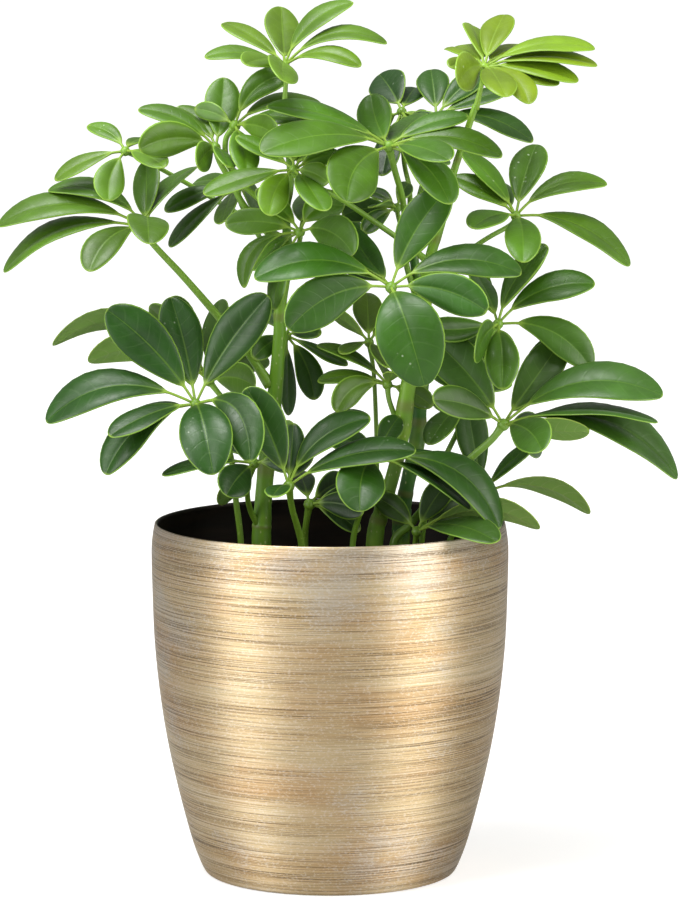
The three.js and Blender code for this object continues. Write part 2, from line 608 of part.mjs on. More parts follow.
function isClear(solid, isOther) {
  const box = solid.boundingBox();
  return placed.every((other) => {
    if (!isOther(other) || !boxesMeet(box, other.box)) return true;
    const shared = solid.intersect(other.solid);
    const clear = shared.isEmpty() || shared.volume() < 1e-5;
    shared.delete();
    return clear;
  });
}

// The first bend that keeps a stalk clear of what is placed, or nothing
function clearStalk(owner, make) {
  const bend = BENDS.find((trial) => isClear(make(trial, GAP / 2), (other) => other.owner !== owner));
  if (bend !== undefined) return make(bend, 0);
  return null;
}

// The first bend that keeps a leaflet clear of the other leaves and its blade of its own leaf's,
// or else of the other leaves only, or nothing
function clearLeaflet(owner, make) {
  const fits = BENDS.filter((trial) => isClear(make(trial, GAP / 2), (other) => other.owner !== owner));
  const best = fits.find((trial) => isClear(make(trial, 0, true), (other) => other.owner === owner));
  const bend = best ?? fits[0];
  if (bend !== undefined) return make(bend, 0);
  return null;
}

for (const leaf of Object.values(LEAVES)) leaf.at[2] *= SPREAD;
for (const [name, twin] of Object.entries(FAR_TWINS)) {
  const near = LEAVES[twin];
  const mirrored = near.leaflets.map(([x, z, turn, ...rest]) => [x, z, -turn, ...rest]);
  const [x, z, nearness] = near.at;
  const on = near.on === "trunk_front" ? "trunk_back" : near.on;
  LEAVES[name] = { ...near, on, at: [x, z, FAR_SHIFT - nearness], leaflets: mirrored };
}

const solids = { pot: potSolid() };
place("pot", solids.pot);
const holes = [];
for (const [name, rows] of Object.entries(TRUNKS)) {
  solids[name] = trunkSolid(rows, 0);
  holes.push(trunkSolid(rows, GAP));
  place(name, solids[name]);
}

const stems = {};
for (const [name, leaf] of Object.entries(LEAVES)) {
  const hub = hubSolid(leaf);
  const around = leaf.on === "soil" ? null : trunkSolid(TRUNKS[leaf.on], GAP);
  const make = (bend, extra) => {
    const stalk = stalkSolid(leaf, bend, extra).add(hub);
    return around ? largestOf(stalk.subtract(around)) : stalk;
  };
  stems[name] = clearStalk(name, make);
  if (!stems[name]) continue;
  place(name, stems[name]);
  if (leaf.on === "soil") holes.push(largestOf(stalkSolid(leaf, 0, GAP)));
}

const soil = holes.reduce((mix, hole) => mix.subtract(hole), soilSolid());
solids.potting_mix = largestOf(soil);
place("potting_mix", solids.potting_mix);

for (const [name, leaf] of Object.entries(LEAVES)) {
  if (!stems[name]) continue;
  let whole = stems[name];
  for (const row of leaf.leaflets) {
    const blade = clearLeaflet(name, (...choice) => leafletSolid(leaf, row, ...choice));
    if (!blade) continue;
    place(name, blade);
    whole = whole.add(blade);
  }
  solids[name] = whole;
}

const LOOKS = {
  pot: { color: "#c79a4b", roughness: 0.35, metalness: 1 },
  potting_mix: { color: "#2a1f18", roughness: 0.95, metalness: 0 },
};

const group = new THREE.Group();
for (const [name, solid] of Object.entries(solids)) {
  const tone = LEAVES[name] ? LEAVES[name].tone : TRUNK_TONES[name];
  const look = LOOKS[name] ?? { color: tone, roughness: 0.4, metalness: 0 };
  const mesh = new THREE.Mesh(geometryOf(solid), new THREE.MeshStandardMaterial(look));
  mesh.name = name;
  group.add(mesh);
}

export default group;
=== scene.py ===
# A potted umbrella plant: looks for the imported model.
# Metres in Blender. The tables below are in millimetres, as in the part's source.
import math
import random

import bpy
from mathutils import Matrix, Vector, kdtree


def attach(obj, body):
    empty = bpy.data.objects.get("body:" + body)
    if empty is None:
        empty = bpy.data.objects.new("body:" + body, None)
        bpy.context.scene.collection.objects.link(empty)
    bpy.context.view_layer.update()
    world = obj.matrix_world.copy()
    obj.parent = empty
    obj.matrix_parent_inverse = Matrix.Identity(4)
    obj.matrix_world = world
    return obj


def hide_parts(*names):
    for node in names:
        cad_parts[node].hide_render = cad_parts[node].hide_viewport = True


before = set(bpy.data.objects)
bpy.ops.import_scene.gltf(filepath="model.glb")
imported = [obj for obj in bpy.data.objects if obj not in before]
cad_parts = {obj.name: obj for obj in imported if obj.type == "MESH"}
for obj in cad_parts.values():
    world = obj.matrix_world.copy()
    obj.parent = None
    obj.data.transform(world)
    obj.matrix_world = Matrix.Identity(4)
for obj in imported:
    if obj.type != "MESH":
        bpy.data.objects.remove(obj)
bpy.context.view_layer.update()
MM = 0.001
# About a full turn, for random angles
ROUND = 6.28

# Where the plant is looked at from, and the camera that stands there
EYE = Vector((4.15, -1810.0, 409.6))
CAMERA_PITCH = 7.025
FOCAL_PIXELS = 4182.0
PHOTO_HEIGHT = 897.0
SENSOR = 36.0

# The pot's outside radius at each height, its wall and its floor
POT_PROFILE = [
    [0, 53.6], [0.9, 55.4], [6.6, 58.1], [17, 61.6], [39, 67.3], [60, 71.7], [81.5, 74.9],
    [103, 76.9], [125, 77.7], [142, 78.0], [149.5, 77.4], [154, 76.6],
]
POT_WALL = 1.3
POT_FLOOR = 2.0
POT_SIDES = 160
POT_FLOOR_RADIUS = 54.3
POT_RIM = [[154.25, 76.35], [154.3, 75.95], [154.2, 75.5]]
RIM_TOP = 154.3
SOIL_TOP = 123.0
STEM_DEPTH = 20.0

# How a leaflet is made, as in the solids
LEAFLET_SLIM = 0.37
LEAFLET_FOLD = 0.1
LEAFLET_ARCH = 0.08
CREST_LIFT = 0.1
TIP_PAST = 1.045
# How far a tip may lie from the solid's, in mm
TIP_MISS = 0.3
# A leaflet whose tip is seen nearer to its hub than this points at the camera or away
END_ON = 14
BLADE_BROAD = 1.2
FOOTSTALK_WIDE = 1.2
FOOTSTALK_START = 1.4
FOOTSTALK_SHARE = 0.16
HUB_SWELL = 1.3
SPREAD = 1.35
FAR_SHIFT = -30.0
BENDS = [0] + [sign * step for step in range(3, 43, 3) for sign in (1, -1)]

TRUNKS = {
    "trunk_left": [
        [-30, 145, 2, 8.5], [-29.6, 155, 2, 8], [-29, 165, 2, 7.5], [-27, 188, 2, 7], [-25.6, 199, 2, 8],
        [-24, 210, 2, 6.5], [-22, 235, 2, 5.5], [-21.5, 250, 2, 5.5], [-20, 262, 2, 6], [-18.5, 275, 2, 4.2],
        [-19, 290, 2, 3.4], [-17, 303, 2, 3], [-18.5, 320, 2, 2.6], [-20, 334, 2, 3],
    ],
    "trunk_front": [
        [19.5, 145, 15, 7.5], [23, 160, 15, 7], [27.5, 175, 15, 6], [30.6, 188, 15, 6], [31.6, 196, 15, 8],
        [34, 214, 15, 6.6], [38, 236, 14, 6.4], [41, 252, 13, 7.2], [43.5, 270, 12, 4.6], [48, 285, 11, 4.2],
        [53, 305, 9, 3.2], [57, 318, 8, 3], [63, 336, 6, 2.8],
    ],
    "trunk_back": [
        [31, 145, -8, 8], [31.6, 159, -8, 8], [32.2, 162, -8, 7], [34, 172, -8, 6.4], [38, 190, -8, 7.2],
        [39, 205, -8, 6.4], [41, 226, -9, 6], [40, 246, -10, 5.4], [37, 266, -12, 4.2], [34, 284, -14, 3.4],
    ],
}
LEAVES = {
    "leaf_crown_left": {
        "at": [-19.5, 353, 2], "on": "trunk_left", "stalk": [[-19, 346], [-20, 332]], "girth": [1.8, 2.2],
        "reach": 44, "tone": "#6a9a34",
        "leaflets": [
            [-53, 356, 0.3, 5, -41, 358.5], [-36, 353, 0.8, 5.5], [-45.5, 370.5, -0.6, 6.5],
            [-21, 377.5, -1, 13, -20.5, 368], [9.5, 379, -0.5, 7.5, -3, 375], [23.5, 361.5, 0.2, 5.5, 6, 367],
            [12.3, 352, 0.5, 5.5, -1, 358.5], [-20, 346, 1, 11, -20, 353.5],
        ],
    },
    "leaf_crown_right": {
        "at": [66.5, 352, 5], "on": "trunk_front", "stalk": [[65.5, 345], [63, 334]], "girth": [2, 2.2],
        "reach": 46, "tone": "#86b02e",
        "leaflets": [
            [61.5, 369.5, -0.8, 8], [75, 374, -0.8, 11], [53, 360, -0.9, 8], [52, 352, 0.5, 4.5],
            [55.5, 345, 0.9, 5], [75.5, 339.5, 0.9, 10], [113, 359.5, -0.2, 6, 97, 362.5],
            [114, 352.5, 0.1, 5, 95, 357], [106, 346, 0.3, 6.5, 87, 352.5], [84, 361, -0.8, 5],
            [85, 336.5, 0.8, 8, 79, 348], [98, 345, 0.6, 6, 83, 350],
        ],
    },
    "leaf_left_high": {
        "at": [-49.5, 317.5, 5], "on": "trunk_left",
        "stalk": [[-48, 312], [-43.5, 304], [-36, 291], [-20.5, 274]],
        "girth": [2.2, 3], "reach": 42, "tone": "#5d912c",
        "leaflets": [
            [-81.5, 316.5, 0.7, 13, -67, 322], [-80, 323, -0.2, 7, -64, 322],
            [-82, 333.3, -0.3, 7, -72, 332.5],
            [-66, 334.5, -0.6, 8, -59, 331.5], [-46, 347, -0.8, 13, -46.5, 336], [-57, 309, 0.8, 4],
            [-44, 309, 0.7, 8],
        ],
    },
    "leaf_left_inner": {
        "at": [-41, 327, 3], "on": "trunk_left", "stalk": [[-45, 321], [-44, 311], [-36, 300], [-19.5, 287]],
        "girth": [2.4, 2.6], "reach": 40, "tone": "#5e922a",
        "leaflets": [
            [-16, 348.5, -0.6, 10, -27.5, 346], [-5, 336.5, -0.5, 6, -22, 338], [-9, 328, 0.2, 6, -23, 331],
            [-23, 322, 0.7, 10], [-36, 306.5, 0.8, 10, -38.5, 321], [-58, 334, -0.8, 7],
        ],
    },
    "leaf_far_left_high": {
        "at": [-88.5, 316, 0], "on": "trunk_left",
        "stalk": [[-79, 311.5], [-59, 300.5], [-38, 288], [-21.5, 279]],
        "girth": [1.8, 2.4], "reach": 36, "tone": "#649634",
        "leaflets": [
            [-104.5, 326.5, -0.5, 6.5, -96, 324.5], [-118, 303.5, 0.3, 6, -104, 312.5],
            [-95.5, 295, 0.7, 11.5, -94, 307], [-77, 321, -0.6, 8, -83, 321], [-72, 309, 0.8, 7],
        ],
    },
    "leaf_far_left": {
        "at": [-80, 283, 5], "on": "trunk_left",
        "stalk": [[-77.6, 277], [-63.8, 262], [-50.8, 247], [-36.6, 230], [-26, 214]],
        "girth": [2.4, 4], "reach": 50, "tone": "#5a8a30",
        "leaflets": [
            [-142, 283, 0.2, 9.5, -127, 291.5], [-139.5, 263.5, 0.5, 7.5, -126, 278],
            [-121, 298, -0.5, 8, -107, 301], [-103.5, 264, 0.8, 10.5, -94, 279.5],
            [-78.5, 275.5, 1, 15, -79, 287], [-79.5, 311.5, -0.7, 10, -79.5, 298],
            [-58.5, 308.5, -0.7, 6.5, -69.5, 302],
        ],
    },
    "leaf_left_dark": {
        "at": [-40, 300, -20], "on": "trunk_left", "stalk": [[-38, 292], [-30, 278], [-22, 264]],
        "girth": [2, 2.4], "reach": 42, "tone": "#55863a",
        "leaflets": [
            [-68.5, 275, 0.5, 6, -57, 288.5], [-70.5, 290, 0.2, 7, -56, 298], [-58.5, 302, -0.6, 6],
            [-46.5, 285, 0.9, 6], [-30, 290, -0.8, 8], [-46, 312, -1, 9],
        ],
    },
    "leaf_bright_centre": {
        "at": [-15.5, 308, 25], "on": "trunk_front",
        "stalk": [[-14, 304.5], [0, 298], [10, 292], [20, 285], [30, 278], [43, 268]], "girth": [2, 2.6],
        "reach": 42, "tone": "#62972a",
        "leaflets": [
            [-53.5, 297.5, 0.3, 7.5, -35, 305], [-40, 322, -0.3, 6, -29, 317], [-18, 322, -1, 9],
            [-4, 318, -0.8, 6], [5, 314, -0.4, 7], [-1, 302.5, 0.4, 9], [-26, 288.5, 0.7, 11.5, -22, 302],
            [-3, 290.5, 0.7, 9, -10, 302],
        ],
    },
    "leaf_centre_top": {
        "at": [25.5, 318, 15], "on": "trunk_back", "stalk": [[28, 308], [32, 292], [33, 268], [39.5, 247]],
        "girth": [2.8, 2.6], "reach": 52, "tone": "#528728",
        "leaflets": [
            [-26, 334.5, -0.3, 7, -8, 333.5], [-28, 315, 0.4, 12, -8, 323], [-8, 328.5, -0.5, 5, 8, 325.5],
            [8, 294.5, 0.8, 20, 12.5, 310], [18, 340, -0.6, 13, 20, 330], [38, 332, -0.9, 8, 33, 327],
            [59, 330.5, -0.2, 7, 43, 328], [73, 313.3, 0.3, 8.5, 53, 322], [51, 293.5, 0.8, 11.5, 42, 309],
            [51, 312, 0.8, 8, 39, 318],
        ],
    },
    "leaf_centre_left": {
        "at": [-13, 281, 12], "on": "trunk_left", "stalk": [[-13.5, 276], [-19.5, 262]],
        "girth": [2, 2.4], "reach": 44, "tone": "#5b9129",
        "leaflets": [
            [9.5, 271, 0.8, 15, 0, 281.5], [6, 291.5, -0.3, 12, -4, 292], [-44.5, 284, -0.2, 10, -28, 285.5],
            [-31.5, 299, -0.6, 8], [-36, 257, 0.3, 6.5, -34, 272], [-33, 265, -0.5, 5],
            [-23.5, 248, 0.2, 7, -20, 268], [-8, 300, -1, 9],
        ],
    },
    "leaf_front_centre": {
        "at": [26.5, 257, 35], "on": "trunk_front", "stalk": [[29, 249], [33, 239], [37, 230]],
        "girth": [2.6, 2.6], "reach": 56, "tone": "#3a7023",
        "leaflets": [
            [-31, 260, 0.2, 13, -8, 269], [-16.5, 238.5, 0.5, 17, 4, 255], [8, 284, -0.8, 10, 15, 272],
            [2, 271, -0.6, 11, 14, 267], [51, 299, -0.5, 15, 37, 281], [81.5, 262, -0.1, 12, 60, 269.5],
            [67, 246.5, 0.4, 14, 48, 256], [41, 214.5, 0.7, 24, 28, 254],
        ],
    },
    "leaf_back_top": {
        "at": [31, 333, -35], "on": "trunk_back", "stalk": [[32, 312], [34.5, 299], [34.5, 282]],
        "girth": [2, 2.4], "reach": 40, "tone": "#27521f",
        "leaflets": [
            [21.5, 348.5, -0.7, 15], [37, 343, -0.5, 12], [15, 322, -0.3, 9], [50, 322, 0.3, 9],
            [38, 316, 0.8, 9], [23, 306, 0.8, 10, 26, 320],
        ],
    },
    "leaf_back_right_top": {
        "at": [46, 331, -30], "on": "trunk_back", "stalk": [[44, 316], [39, 298], [34.5, 279]],
        "girth": [2, 2.4], "reach": 42, "tone": "#356424",
        "leaflets": [
            [43.5, 350.5, -0.7, 12.5], [66, 349, -0.5, 9], [86.5, 320, 0.2, 8, 70, 330],
            [77, 342, -0.3, 6, 64, 339], [33, 325, -0.6, 7],
        ],
    },
    "leaf_right_high": {
        "at": [80.5, 288, 0], "on": "trunk_front", "stalk": [[78, 284], [66, 277], [45, 262]],
        "girth": [2, 2.2], "reach": 50, "tone": "#5b912b",
        "leaflets": [
            [89, 318, -0.8, 13], [58.5, 315.5, -0.6, 7.5], [54, 304.5, -0.3, 8], [62, 282.5, 0.7, 7],
            [83.5, 268, 0.85, 13, 83, 284], [119, 301, -0.2, 8, 105, 303], [128.5, 266.5, 0.2, 9, 110, 283.5],
            [66, 304, -0.9, 8],
        ],
    },
    "leaf_lower_left": {
        "at": [-58.5, 206, 25], "on": "soil", "stalk": [[-52, 197], [-44, 186], [-41, 163], [-39, 145]],
        "girth": [2.4, 2.8], "reach": 56, "tone": "#29591a",
        "leaflets": [
            [-96, 246, -0.4, 17.5], [-69, 251.5, -0.6, 15], [-27.5, 252, -0.4, 16],
            [-121.5, 197.5, 0.1, 14, -107, 210.5], [-95, 192, 0.5, 8], [-96.5, 175.5, 0.5, 12, -81, 198],
            [-51, 175.3, 0.85, 19, -57, 203], [-36, 180.5, 0.7, 14.5, -43, 206],
        ],
    },
    "leaf_behind_left": {
        "at": [-52.5, 216, -5], "on": "trunk_left", "stalk": [[-47, 209], [-39, 200], [-29, 184]],
        "girth": [2.2, 2.8], "reach": 52, "tone": "#5f8f38",
        "leaflets": [
            [-118.5, 230, 0, -8, -103, 242], [-103.5, 223.5, 0.1, -11, -92, 230.5], [-78, 247.5, -0.5, -9],
            [-48, 250.5, -0.7, 9], [-28, 226, -0.8, 12], [-33, 213.5, 0.6, -12],
        ],
    },
    "leaf_right_middle": {
        "at": [73, 241, 8], "on": "trunk_front", "stalk": [[67, 234], [55, 227], [37, 220]],
        "girth": [2.2, 2.6], "reach": 46, "tone": "#4d8228",
        "leaflets": [
            [94, 274, -0.3, 9, 80.5, 260], [63, 263, -0.7, 7], [114, 257.5, -0.1, 11, 99, 258],
            [112, 221.5, 0.4, 13, 100, 236], [43, 239, 0.4, 9.5, 58, 239], [75, 213, 0.8, 12.5, 74, 234],
            [63, 226, 0.9, -7],
        ],
    },
    "leaf_lower_right": {
        "at": [75.5, 197, 18], "on": "soil", "stalk": [[70, 190], [60, 181], [45, 165], [35, 153], [28, 145]],
        "girth": [3, 4.2], "reach": 56, "tone": "#4a7a36",
        "leaflets": [
            [45.5, 207.5, 0.5, 11], [43, 235, -0.2, 17], [101, 234, -0.5, 14, 90, 219],
            [143, 208.5, -0.1, 14, 121, 216.5],
            [149, 173, 0.2, 13, 131, 194.5], [141, 197.5, -0.2, 3.5, 118, 203],
            [112, 194.5, 0.2, -8, 98, 195],
            [92, 185.5, 0.85, 14, 85, 195],
        ],
    },
    "leaf_right_inner": {
        "at": [61, 208, -8], "on": "soil", "stalk": [[56, 195], [50, 182], [43, 163], [40, 145]],
        "girth": [2.2, 2.8], "reach": 42, "tone": "#4a7d2a",
        "leaflets": [
            [64, 238, -0.6, 9], [56, 236, -0.6, 8], [44, 222, -0.4, 8], [78, 216, -0.6, 8],
            [43.5, 188.5, 0.8, 9],
        ],
    },
    "leaf_right_low": {
        "at": [67, 167, -5], "on": "soil", "stalk": [[62, 160], [52, 145]], "girth": [2.2, 2.8], "reach": 42,
        "tone": "#3f7526",
        "leaflets": [
            [60, 206, -0.2, 12, 62.5, 190], [89, 188, 0.2, 5.5], [112, 157.5, 0.2, -7, 95, 170],
            [50, 175, -0.8, 10], [48, 163, 0.5, 8],
        ],
    },
    "leaf_rim_right": {
        "at": [38, 150, 20], "on": "soil", "stalk": [[37, 143], [36, 136]], "girth": [2.2, 2.6], "reach": 40,
        "tone": "#3c6428",
        "leaflets": [
            [72, 145, 1.9, 8, 54, 153], [90, 150.5, 0.3, -8, 77, 159], [68, 160, -0.6, 11],
            [20, 165, -0.8, 9], [52, 172, -0.9, 10],
        ],
    },
    "leaf_low_centre": {
        "at": [20, 182, 28], "on": "soil", "stalk": [[17, 172], [13, 158], [10, 145]],
        "girth": [2.2, 2.8], "reach": 46, "tone": "#2f5f20",
        "leaflets": [
            [72, 151.3, 0.5, 13, 59, 174], [56, 178.5, -0.3, 5], [13.5, 159, 0.8, 18, 15, 178],
            [60, 160, 0.4, 5, 44, 174], [2, 190, -0.7, 9], [30, 200, -0.9, 9],
        ],
    },
    "leaf_low_front": {
        "at": [-18, 170, 35], "on": "soil", "stalk": [[-16.5, 160], [-12.5, 144]], "girth": [2.6, 3],
        "reach": 50, "tone": "#295620",
        "leaflets": [
            [36, 184.5, 0.1, 9.5, 10, 184], [17, 198.5, -0.3, 11, 0, 194], [-9, 187.5, -0.3, 8],
            [-36, 212, -0.3, -15], [-16, 197, -0.6, 9], [-25, 165, 0.5, 9],
        ],
    },
    "leaf_low_left": {
        "at": [-33, 180, 20], "on": "trunk_left", "stalk": [[-36, 170], [-35, 160], [-30, 150]],
        "girth": [2.2, 2.6], "reach": 40, "tone": "#2b5a1e",
        "leaflets": [
            [-45, 166, 0.6, 13], [-47, 162, -0.4, -6], [-72, 174.5, 0.2, 4], [-30, 196, -0.8, 9],
            [-50, 192, -0.6, 8], [-16, 178, 0.3, 7],
        ],
    },
    "leaf_low_dark": {
        "at": [-9, 162, 12], "on": "soil", "stalk": [[-10.5, 153], [-11, 145]], "girth": [2.6, 3.2],
        "reach": 38, "tone": "#284f1c",
        "leaflets": [
            [14, 158, 0.5, 10], [8, 172, -0.8, 10], [20, 165, -0.3, 9], [-14, 176, -0.8, 9],
            [12, 150, 0.6, 7, 4, 157],
        ],
    },
    "leaf_inner_slim": {
        "at": [17, 233, 0], "on": "soil", "stalk": [[19, 220], [20, 200], [20.5, 178], [20, 145]],
        "girth": [1.8, 2.2], "reach": 34, "tone": "#5b7f3a",
        "leaflets": [
            [0, 246, -0.3, -5], [16, 254, -0.5, 11], [30, 246, -0.5, 8], [25, 222, 0.8, 8], [5, 228, 0.5, 7],
        ],
    },
    "leaf_inner_left": {
        "at": [-19, 236, -8], "on": "trunk_left", "stalk": [[-20, 230], [-23, 219]], "girth": [2, 2.4],
        "reach": 34, "tone": "#41742a",
        "leaflets": [
            [-33, 226, 0.6, 8], [-4.5, 236, 0.5, 5], [7, 223.3, 0.3, 4.5, -6, 230],
            [-7.5, 208.5, 0.5, 10, -10, 222], [-18, 202, 0.3, 6], [-30, 250, -0.6, 9],
            [-10, 252, -0.8, 9],
        ],
    },
    "leaf_inner_right": {
        "at": [25, 214.5, 8], "on": "trunk_front", "stalk": [[26, 207], [31, 194]], "girth": [2, 2.4],
        "reach": 36, "tone": "#5d8a35",
        "leaflets": [
            [-4.5, 215.5, 0.2, 5, 9, 218.5], [3.5, 202.5, 0.4, -10, 9, 212], [-5, 231, -0.2, 4.5, 10, 227],
            [22, 223, -0.9, 7], [27, 220, -0.9, 6], [44, 205, 0.3, 8],
        ],
    },
    "leaf_inner_top": {
        "at": [29, 291.5, -5], "on": "trunk_back", "stalk": [[30, 286], [34, 274]], "girth": [1.8, 2.2],
        "reach": 28, "tone": "#3a6a26",
        "leaflets": [
            [6, 288, 0.2, 9], [18, 291.5, 0.8, 7], [14.5, 281, 0.6, 7], [34, 302, -0.8, 6],
            [16, 299, -0.6, 5],
        ],
    },
}
FAR_TWINS = {
    "leaf_far_centre": "leaf_front_centre",
    "leaf_far_lower_left": "leaf_lower_left",
    "leaf_far_right_middle": "leaf_right_middle",
    "leaf_far_lower_right": "leaf_lower_right",
    "leaf_far_top": "leaf_centre_top",
    "leaf_far_low": "leaf_low_front",
}

for leaf in LEAVES.values():
    leaf["at"][2] *= SPREAD
for name, twin in FAR_TWINS.items():
    near = LEAVES[twin]
    far = dict(near)
    x, z, nearness = near["at"]
    far["at"] = [x, z, FAR_SHIFT - nearness]
    far["on"] = "trunk_back" if near["on"] == "trunk_front" else near["on"]
    far["leaflets"] = [[row[0], row[1], -row[2]] + row[3:] for row in near["leaflets"]]
    LEAVES[name] = far


# Places along the lines of sight

def seen(x, z, nearness):
    """The point on the line of sight through (x, 0, z) that lies this much nearer, in mm."""
    share = 1 + nearness / EYE.y
    return Vector((EYE.x + (x - EYE.x) * share, -nearness, EYE.z + (z - EYE.z) * share))


def leaflet_line(leaf, row, bend):
    """The three points of a leaflet's bowed middle line, in mm."""
    hub_x, hub_z, hub_near = leaf["at"]
    x, z, turn = row[:3]
    flat = math.hypot(x - hub_x, z - hub_z)
    reach = math.sqrt(max(leaf["reach"] ** 2 - flat ** 2, 36))
    tip_near = hub_near + turn * reach + bend
    hub = seen(hub_x, hub_z, hub_near)
    tip = seen(hub_x + (x - hub_x) * TIP_PAST, hub_z + (z - hub_z) * TIP_PAST, tip_near)
    crest = hub.lerp(tip, 0.5) + Vector((0, 0, LEAFLET_ARCH * (tip - hub).length))
    if len(row) > 4:
        farther = math.hypot(row[4] - hub_x, row[5] - hub_z) / flat
        depth = min(max(farther, 0.45), 0.8)
        crest = seen(row[4], row[5] + CREST_LIFT, hub_near + (tip_near - hub_near) * depth)
    passed = (crest - hub).length / ((crest - hub).length + (tip - crest).length)
    rest = 1 - passed
    pull = (crest - hub * rest * rest - tip * passed * passed) / (2 * passed * rest)
    return hub, pull, tip


def leaflet_across(leaf, row, line, full_width):
    """The direction across a leaflet, turned about its length until its seen width is right."""
    hub, _, tip = line
    sight = (tip - EYE).normalized()
    along = (tip - hub).normalized()
    if math.hypot(row[0] - leaf["at"][0], row[1] - leaf["at"][1]) < END_ON:
        raised = Vector((1, 0, 0))
    else:
        raised = along.cross(sight).normalized()
    if raised.z < -0.001:
        raised.negate()
    farther = along.cross(raised).normalized()
    if farther.y < 0:
        farther.negate()
    turn = math.acos(min(1, abs(row[3]) * BLADE_BROAD / full_width))
    return raised * math.cos(turn) + farther * math.copysign(math.sin(turn), row[3])


def line_point(line, share):
    a, b, c = line
    rest = 1 - share
    return a * rest * rest + b * 2 * rest * share + c * share * share


def line_along(line, share):
    a, b, c = line
    return ((b - a) * (1 - share) + (c - b) * share).normalized()


def stalk_points(leaf, bend):
    """The corner points of a leaf's stalk from its hub down, in mm."""
    hub_x, hub_z, hub_near = leaf["at"]
    rooted = leaf["on"] == "soil"
    foot_z = leaf["stalk"][-1][1]
    if rooted:
        foot_near = hub_near * 0.6
    else:
        rows = TRUNKS[leaf["on"]]
        foot_near = next((row[2] for row in rows if row[1] >= foot_z), rows[-1][2])
    way = [[hub_x, hub_z]] + leaf["stalk"]
    points = []
    for i, (x, z) in enumerate(way):
        share = i / (len(way) - 1)
        eased = share * share * (3 - 2 * share)
        nearness = hub_near + (foot_near - hub_near) * eased + bend * math.sin(math.pi * share)
        points.append(seen(x, z, nearness))
    if rooted:
        last = points[-1]
        points.append(Vector((last.x, last.y, SOIL_TOP + 2)))
        points.append(Vector((last.x, last.y, SOIL_TOP - STEM_DEPTH)))
    return points


def bar_corners(points, radii, sides):
    """The rings of corners of a straight-sided bar, as the solids have them."""
    rings = []
    across = Vector((1, 0, 0))
    for i, point in enumerate(points):
        along = (points[min(i + 1, len(points) - 1)] - points[max(i - 1, 0)]).normalized()
        across = (across - along * across.dot(along)).normalized()
        upright = along.cross(across)
        ring = []
        for k in range(sides):
            turn = 2 * math.pi * k / sides
            ring.append(point + across * (radii[i] * math.cos(turn)) + upright * (radii[i] * math.sin(turn)))
        rings.append(ring)
    return rings


def bar_radii(leaf, count):
    top, foot = leaf["girth"]
    return [(top + (foot - top) * i / (count - 1)) / 2 for i in range(count)]


# Which bend the solids have

def corners_of(node):
    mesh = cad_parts[node].data
    tree = kdtree.KDTree(len(mesh.vertices))
    for i, vertex in enumerate(mesh.vertices):
        tree.insert(vertex.co, i)
    tree.balance()
    return tree


def nearest(tree, point):
    return tree.find(point * MM)[2]


def bend_of_leaflet(tree, leaf, row):
    """The bend that puts the tip where the solid has it, or nothing where the solids have no such leaflet."""
    def miss(bend):
        return nearest(tree, leaflet_line(leaf, row, bend)[2])
    best = min(BENDS, key=miss)
    return best if miss(best) < TIP_MISS * MM else None


def bend_of_stalk(tree, leaf):
    def miss(bend):
        points = stalk_points(leaf, bend)
        rings = bar_corners(points, bar_radii(leaf, len(points)), 4)
        return sum(nearest(tree, corner) for corner in rings[1])
    if len(leaf["stalk"]) < 2:
        return 0
    return min(BENDS, key=miss)


# Node trees in a few words

class Shader:
    """A material's node tree, with its inputs given as numbers, colours or other nodes' outputs."""

    def __init__(self, name):
        self.material = bpy.data.materials.new(name)
        self.material.use_nodes = True
        self.tree = self.material.node_tree
        self.tree.nodes.clear()
        self.output = self.tree.nodes.new("ShaderNodeOutputMaterial")
        self.column = 0

    def node(self, kind, settings=None, **inputs):
        node = self.tree.nodes.new(kind)
        self.column += 1
        node.location = (-220 * (self.column % 12), -260 * (self.column // 12))
        for key, value in (settings or {}).items():
            setattr(node, key, value)
        for key, value in inputs.items():
            socket = node.inputs[int(key[1:])] if key[0] == "i" and key[1:].isdigit() else None
            if socket is None:
                socket = next(s for s in node.inputs if s.name.replace(" ", "_") == key and s.enabled)
            if isinstance(value, bpy.types.NodeSocket):
                self.tree.links.new(value, socket)
            else:
                socket.default_value = value
        return node

    def math(self, operation, a, b=0.0, clamp=False):
        settings = {"operation": operation, "use_clamp": clamp}
        return self.node("ShaderNodeMath", settings, i0=a, i1=b).outputs[0]

    def times(self, a, b):
        return self.math("MULTIPLY", a, b)

    def mix(self, factor, a, b, blend="MIX"):
        node = self.node("ShaderNodeMix", {"data_type": "RGBA", "blend_type": blend})
        for index, value in ((0, factor), (6, a), (7, b)):
            if isinstance(value, bpy.types.NodeSocket):
                self.tree.links.new(value, node.inputs[index])
            else:
                node.inputs[index].default_value = value
        return node.outputs[2]

    def noise(self, place, scale, detail=3.0, roughness=0.5):
        node = self.node("ShaderNodeTexNoise", None, Vector=place, Scale=scale, Detail=detail,
                         Roughness=roughness)
        return node.outputs["Fac"]

    def stretch(self, place, x, y, z):
        return self.node("ShaderNodeMapping", None, Vector=place, Scale=(x, y, z)).outputs[0]

    def fade(self, value, start, end, low=0.0, high=1.0):
        """value between start and end turned smoothly into low to high."""
        settings = {"interpolation_type": "SMOOTHSTEP"}
        made = self.node("ShaderNodeMapRange", settings, i0=value, i1=start, i2=end, i3=low, i4=high)
        return made.outputs[0]

    def object_place(self):
        return self.node("ShaderNodeTexCoord").outputs["Object"]

    def attribute(self, name, output="Fac"):
        return self.node("ShaderNodeAttribute", {"attribute_name": name}).outputs[output]

    def bump(self, height, strength, distance):
        made = self.node("ShaderNodeBump", None, Height=height, Strength=strength, Distance=distance)
        return made.outputs[0]

    def finish(self, **inputs):
        shader = self.node("ShaderNodeBsdfPrincipled", None, **inputs)
        self.tree.links.new(shader.outputs[0], self.output.inputs[0])
        return self.material


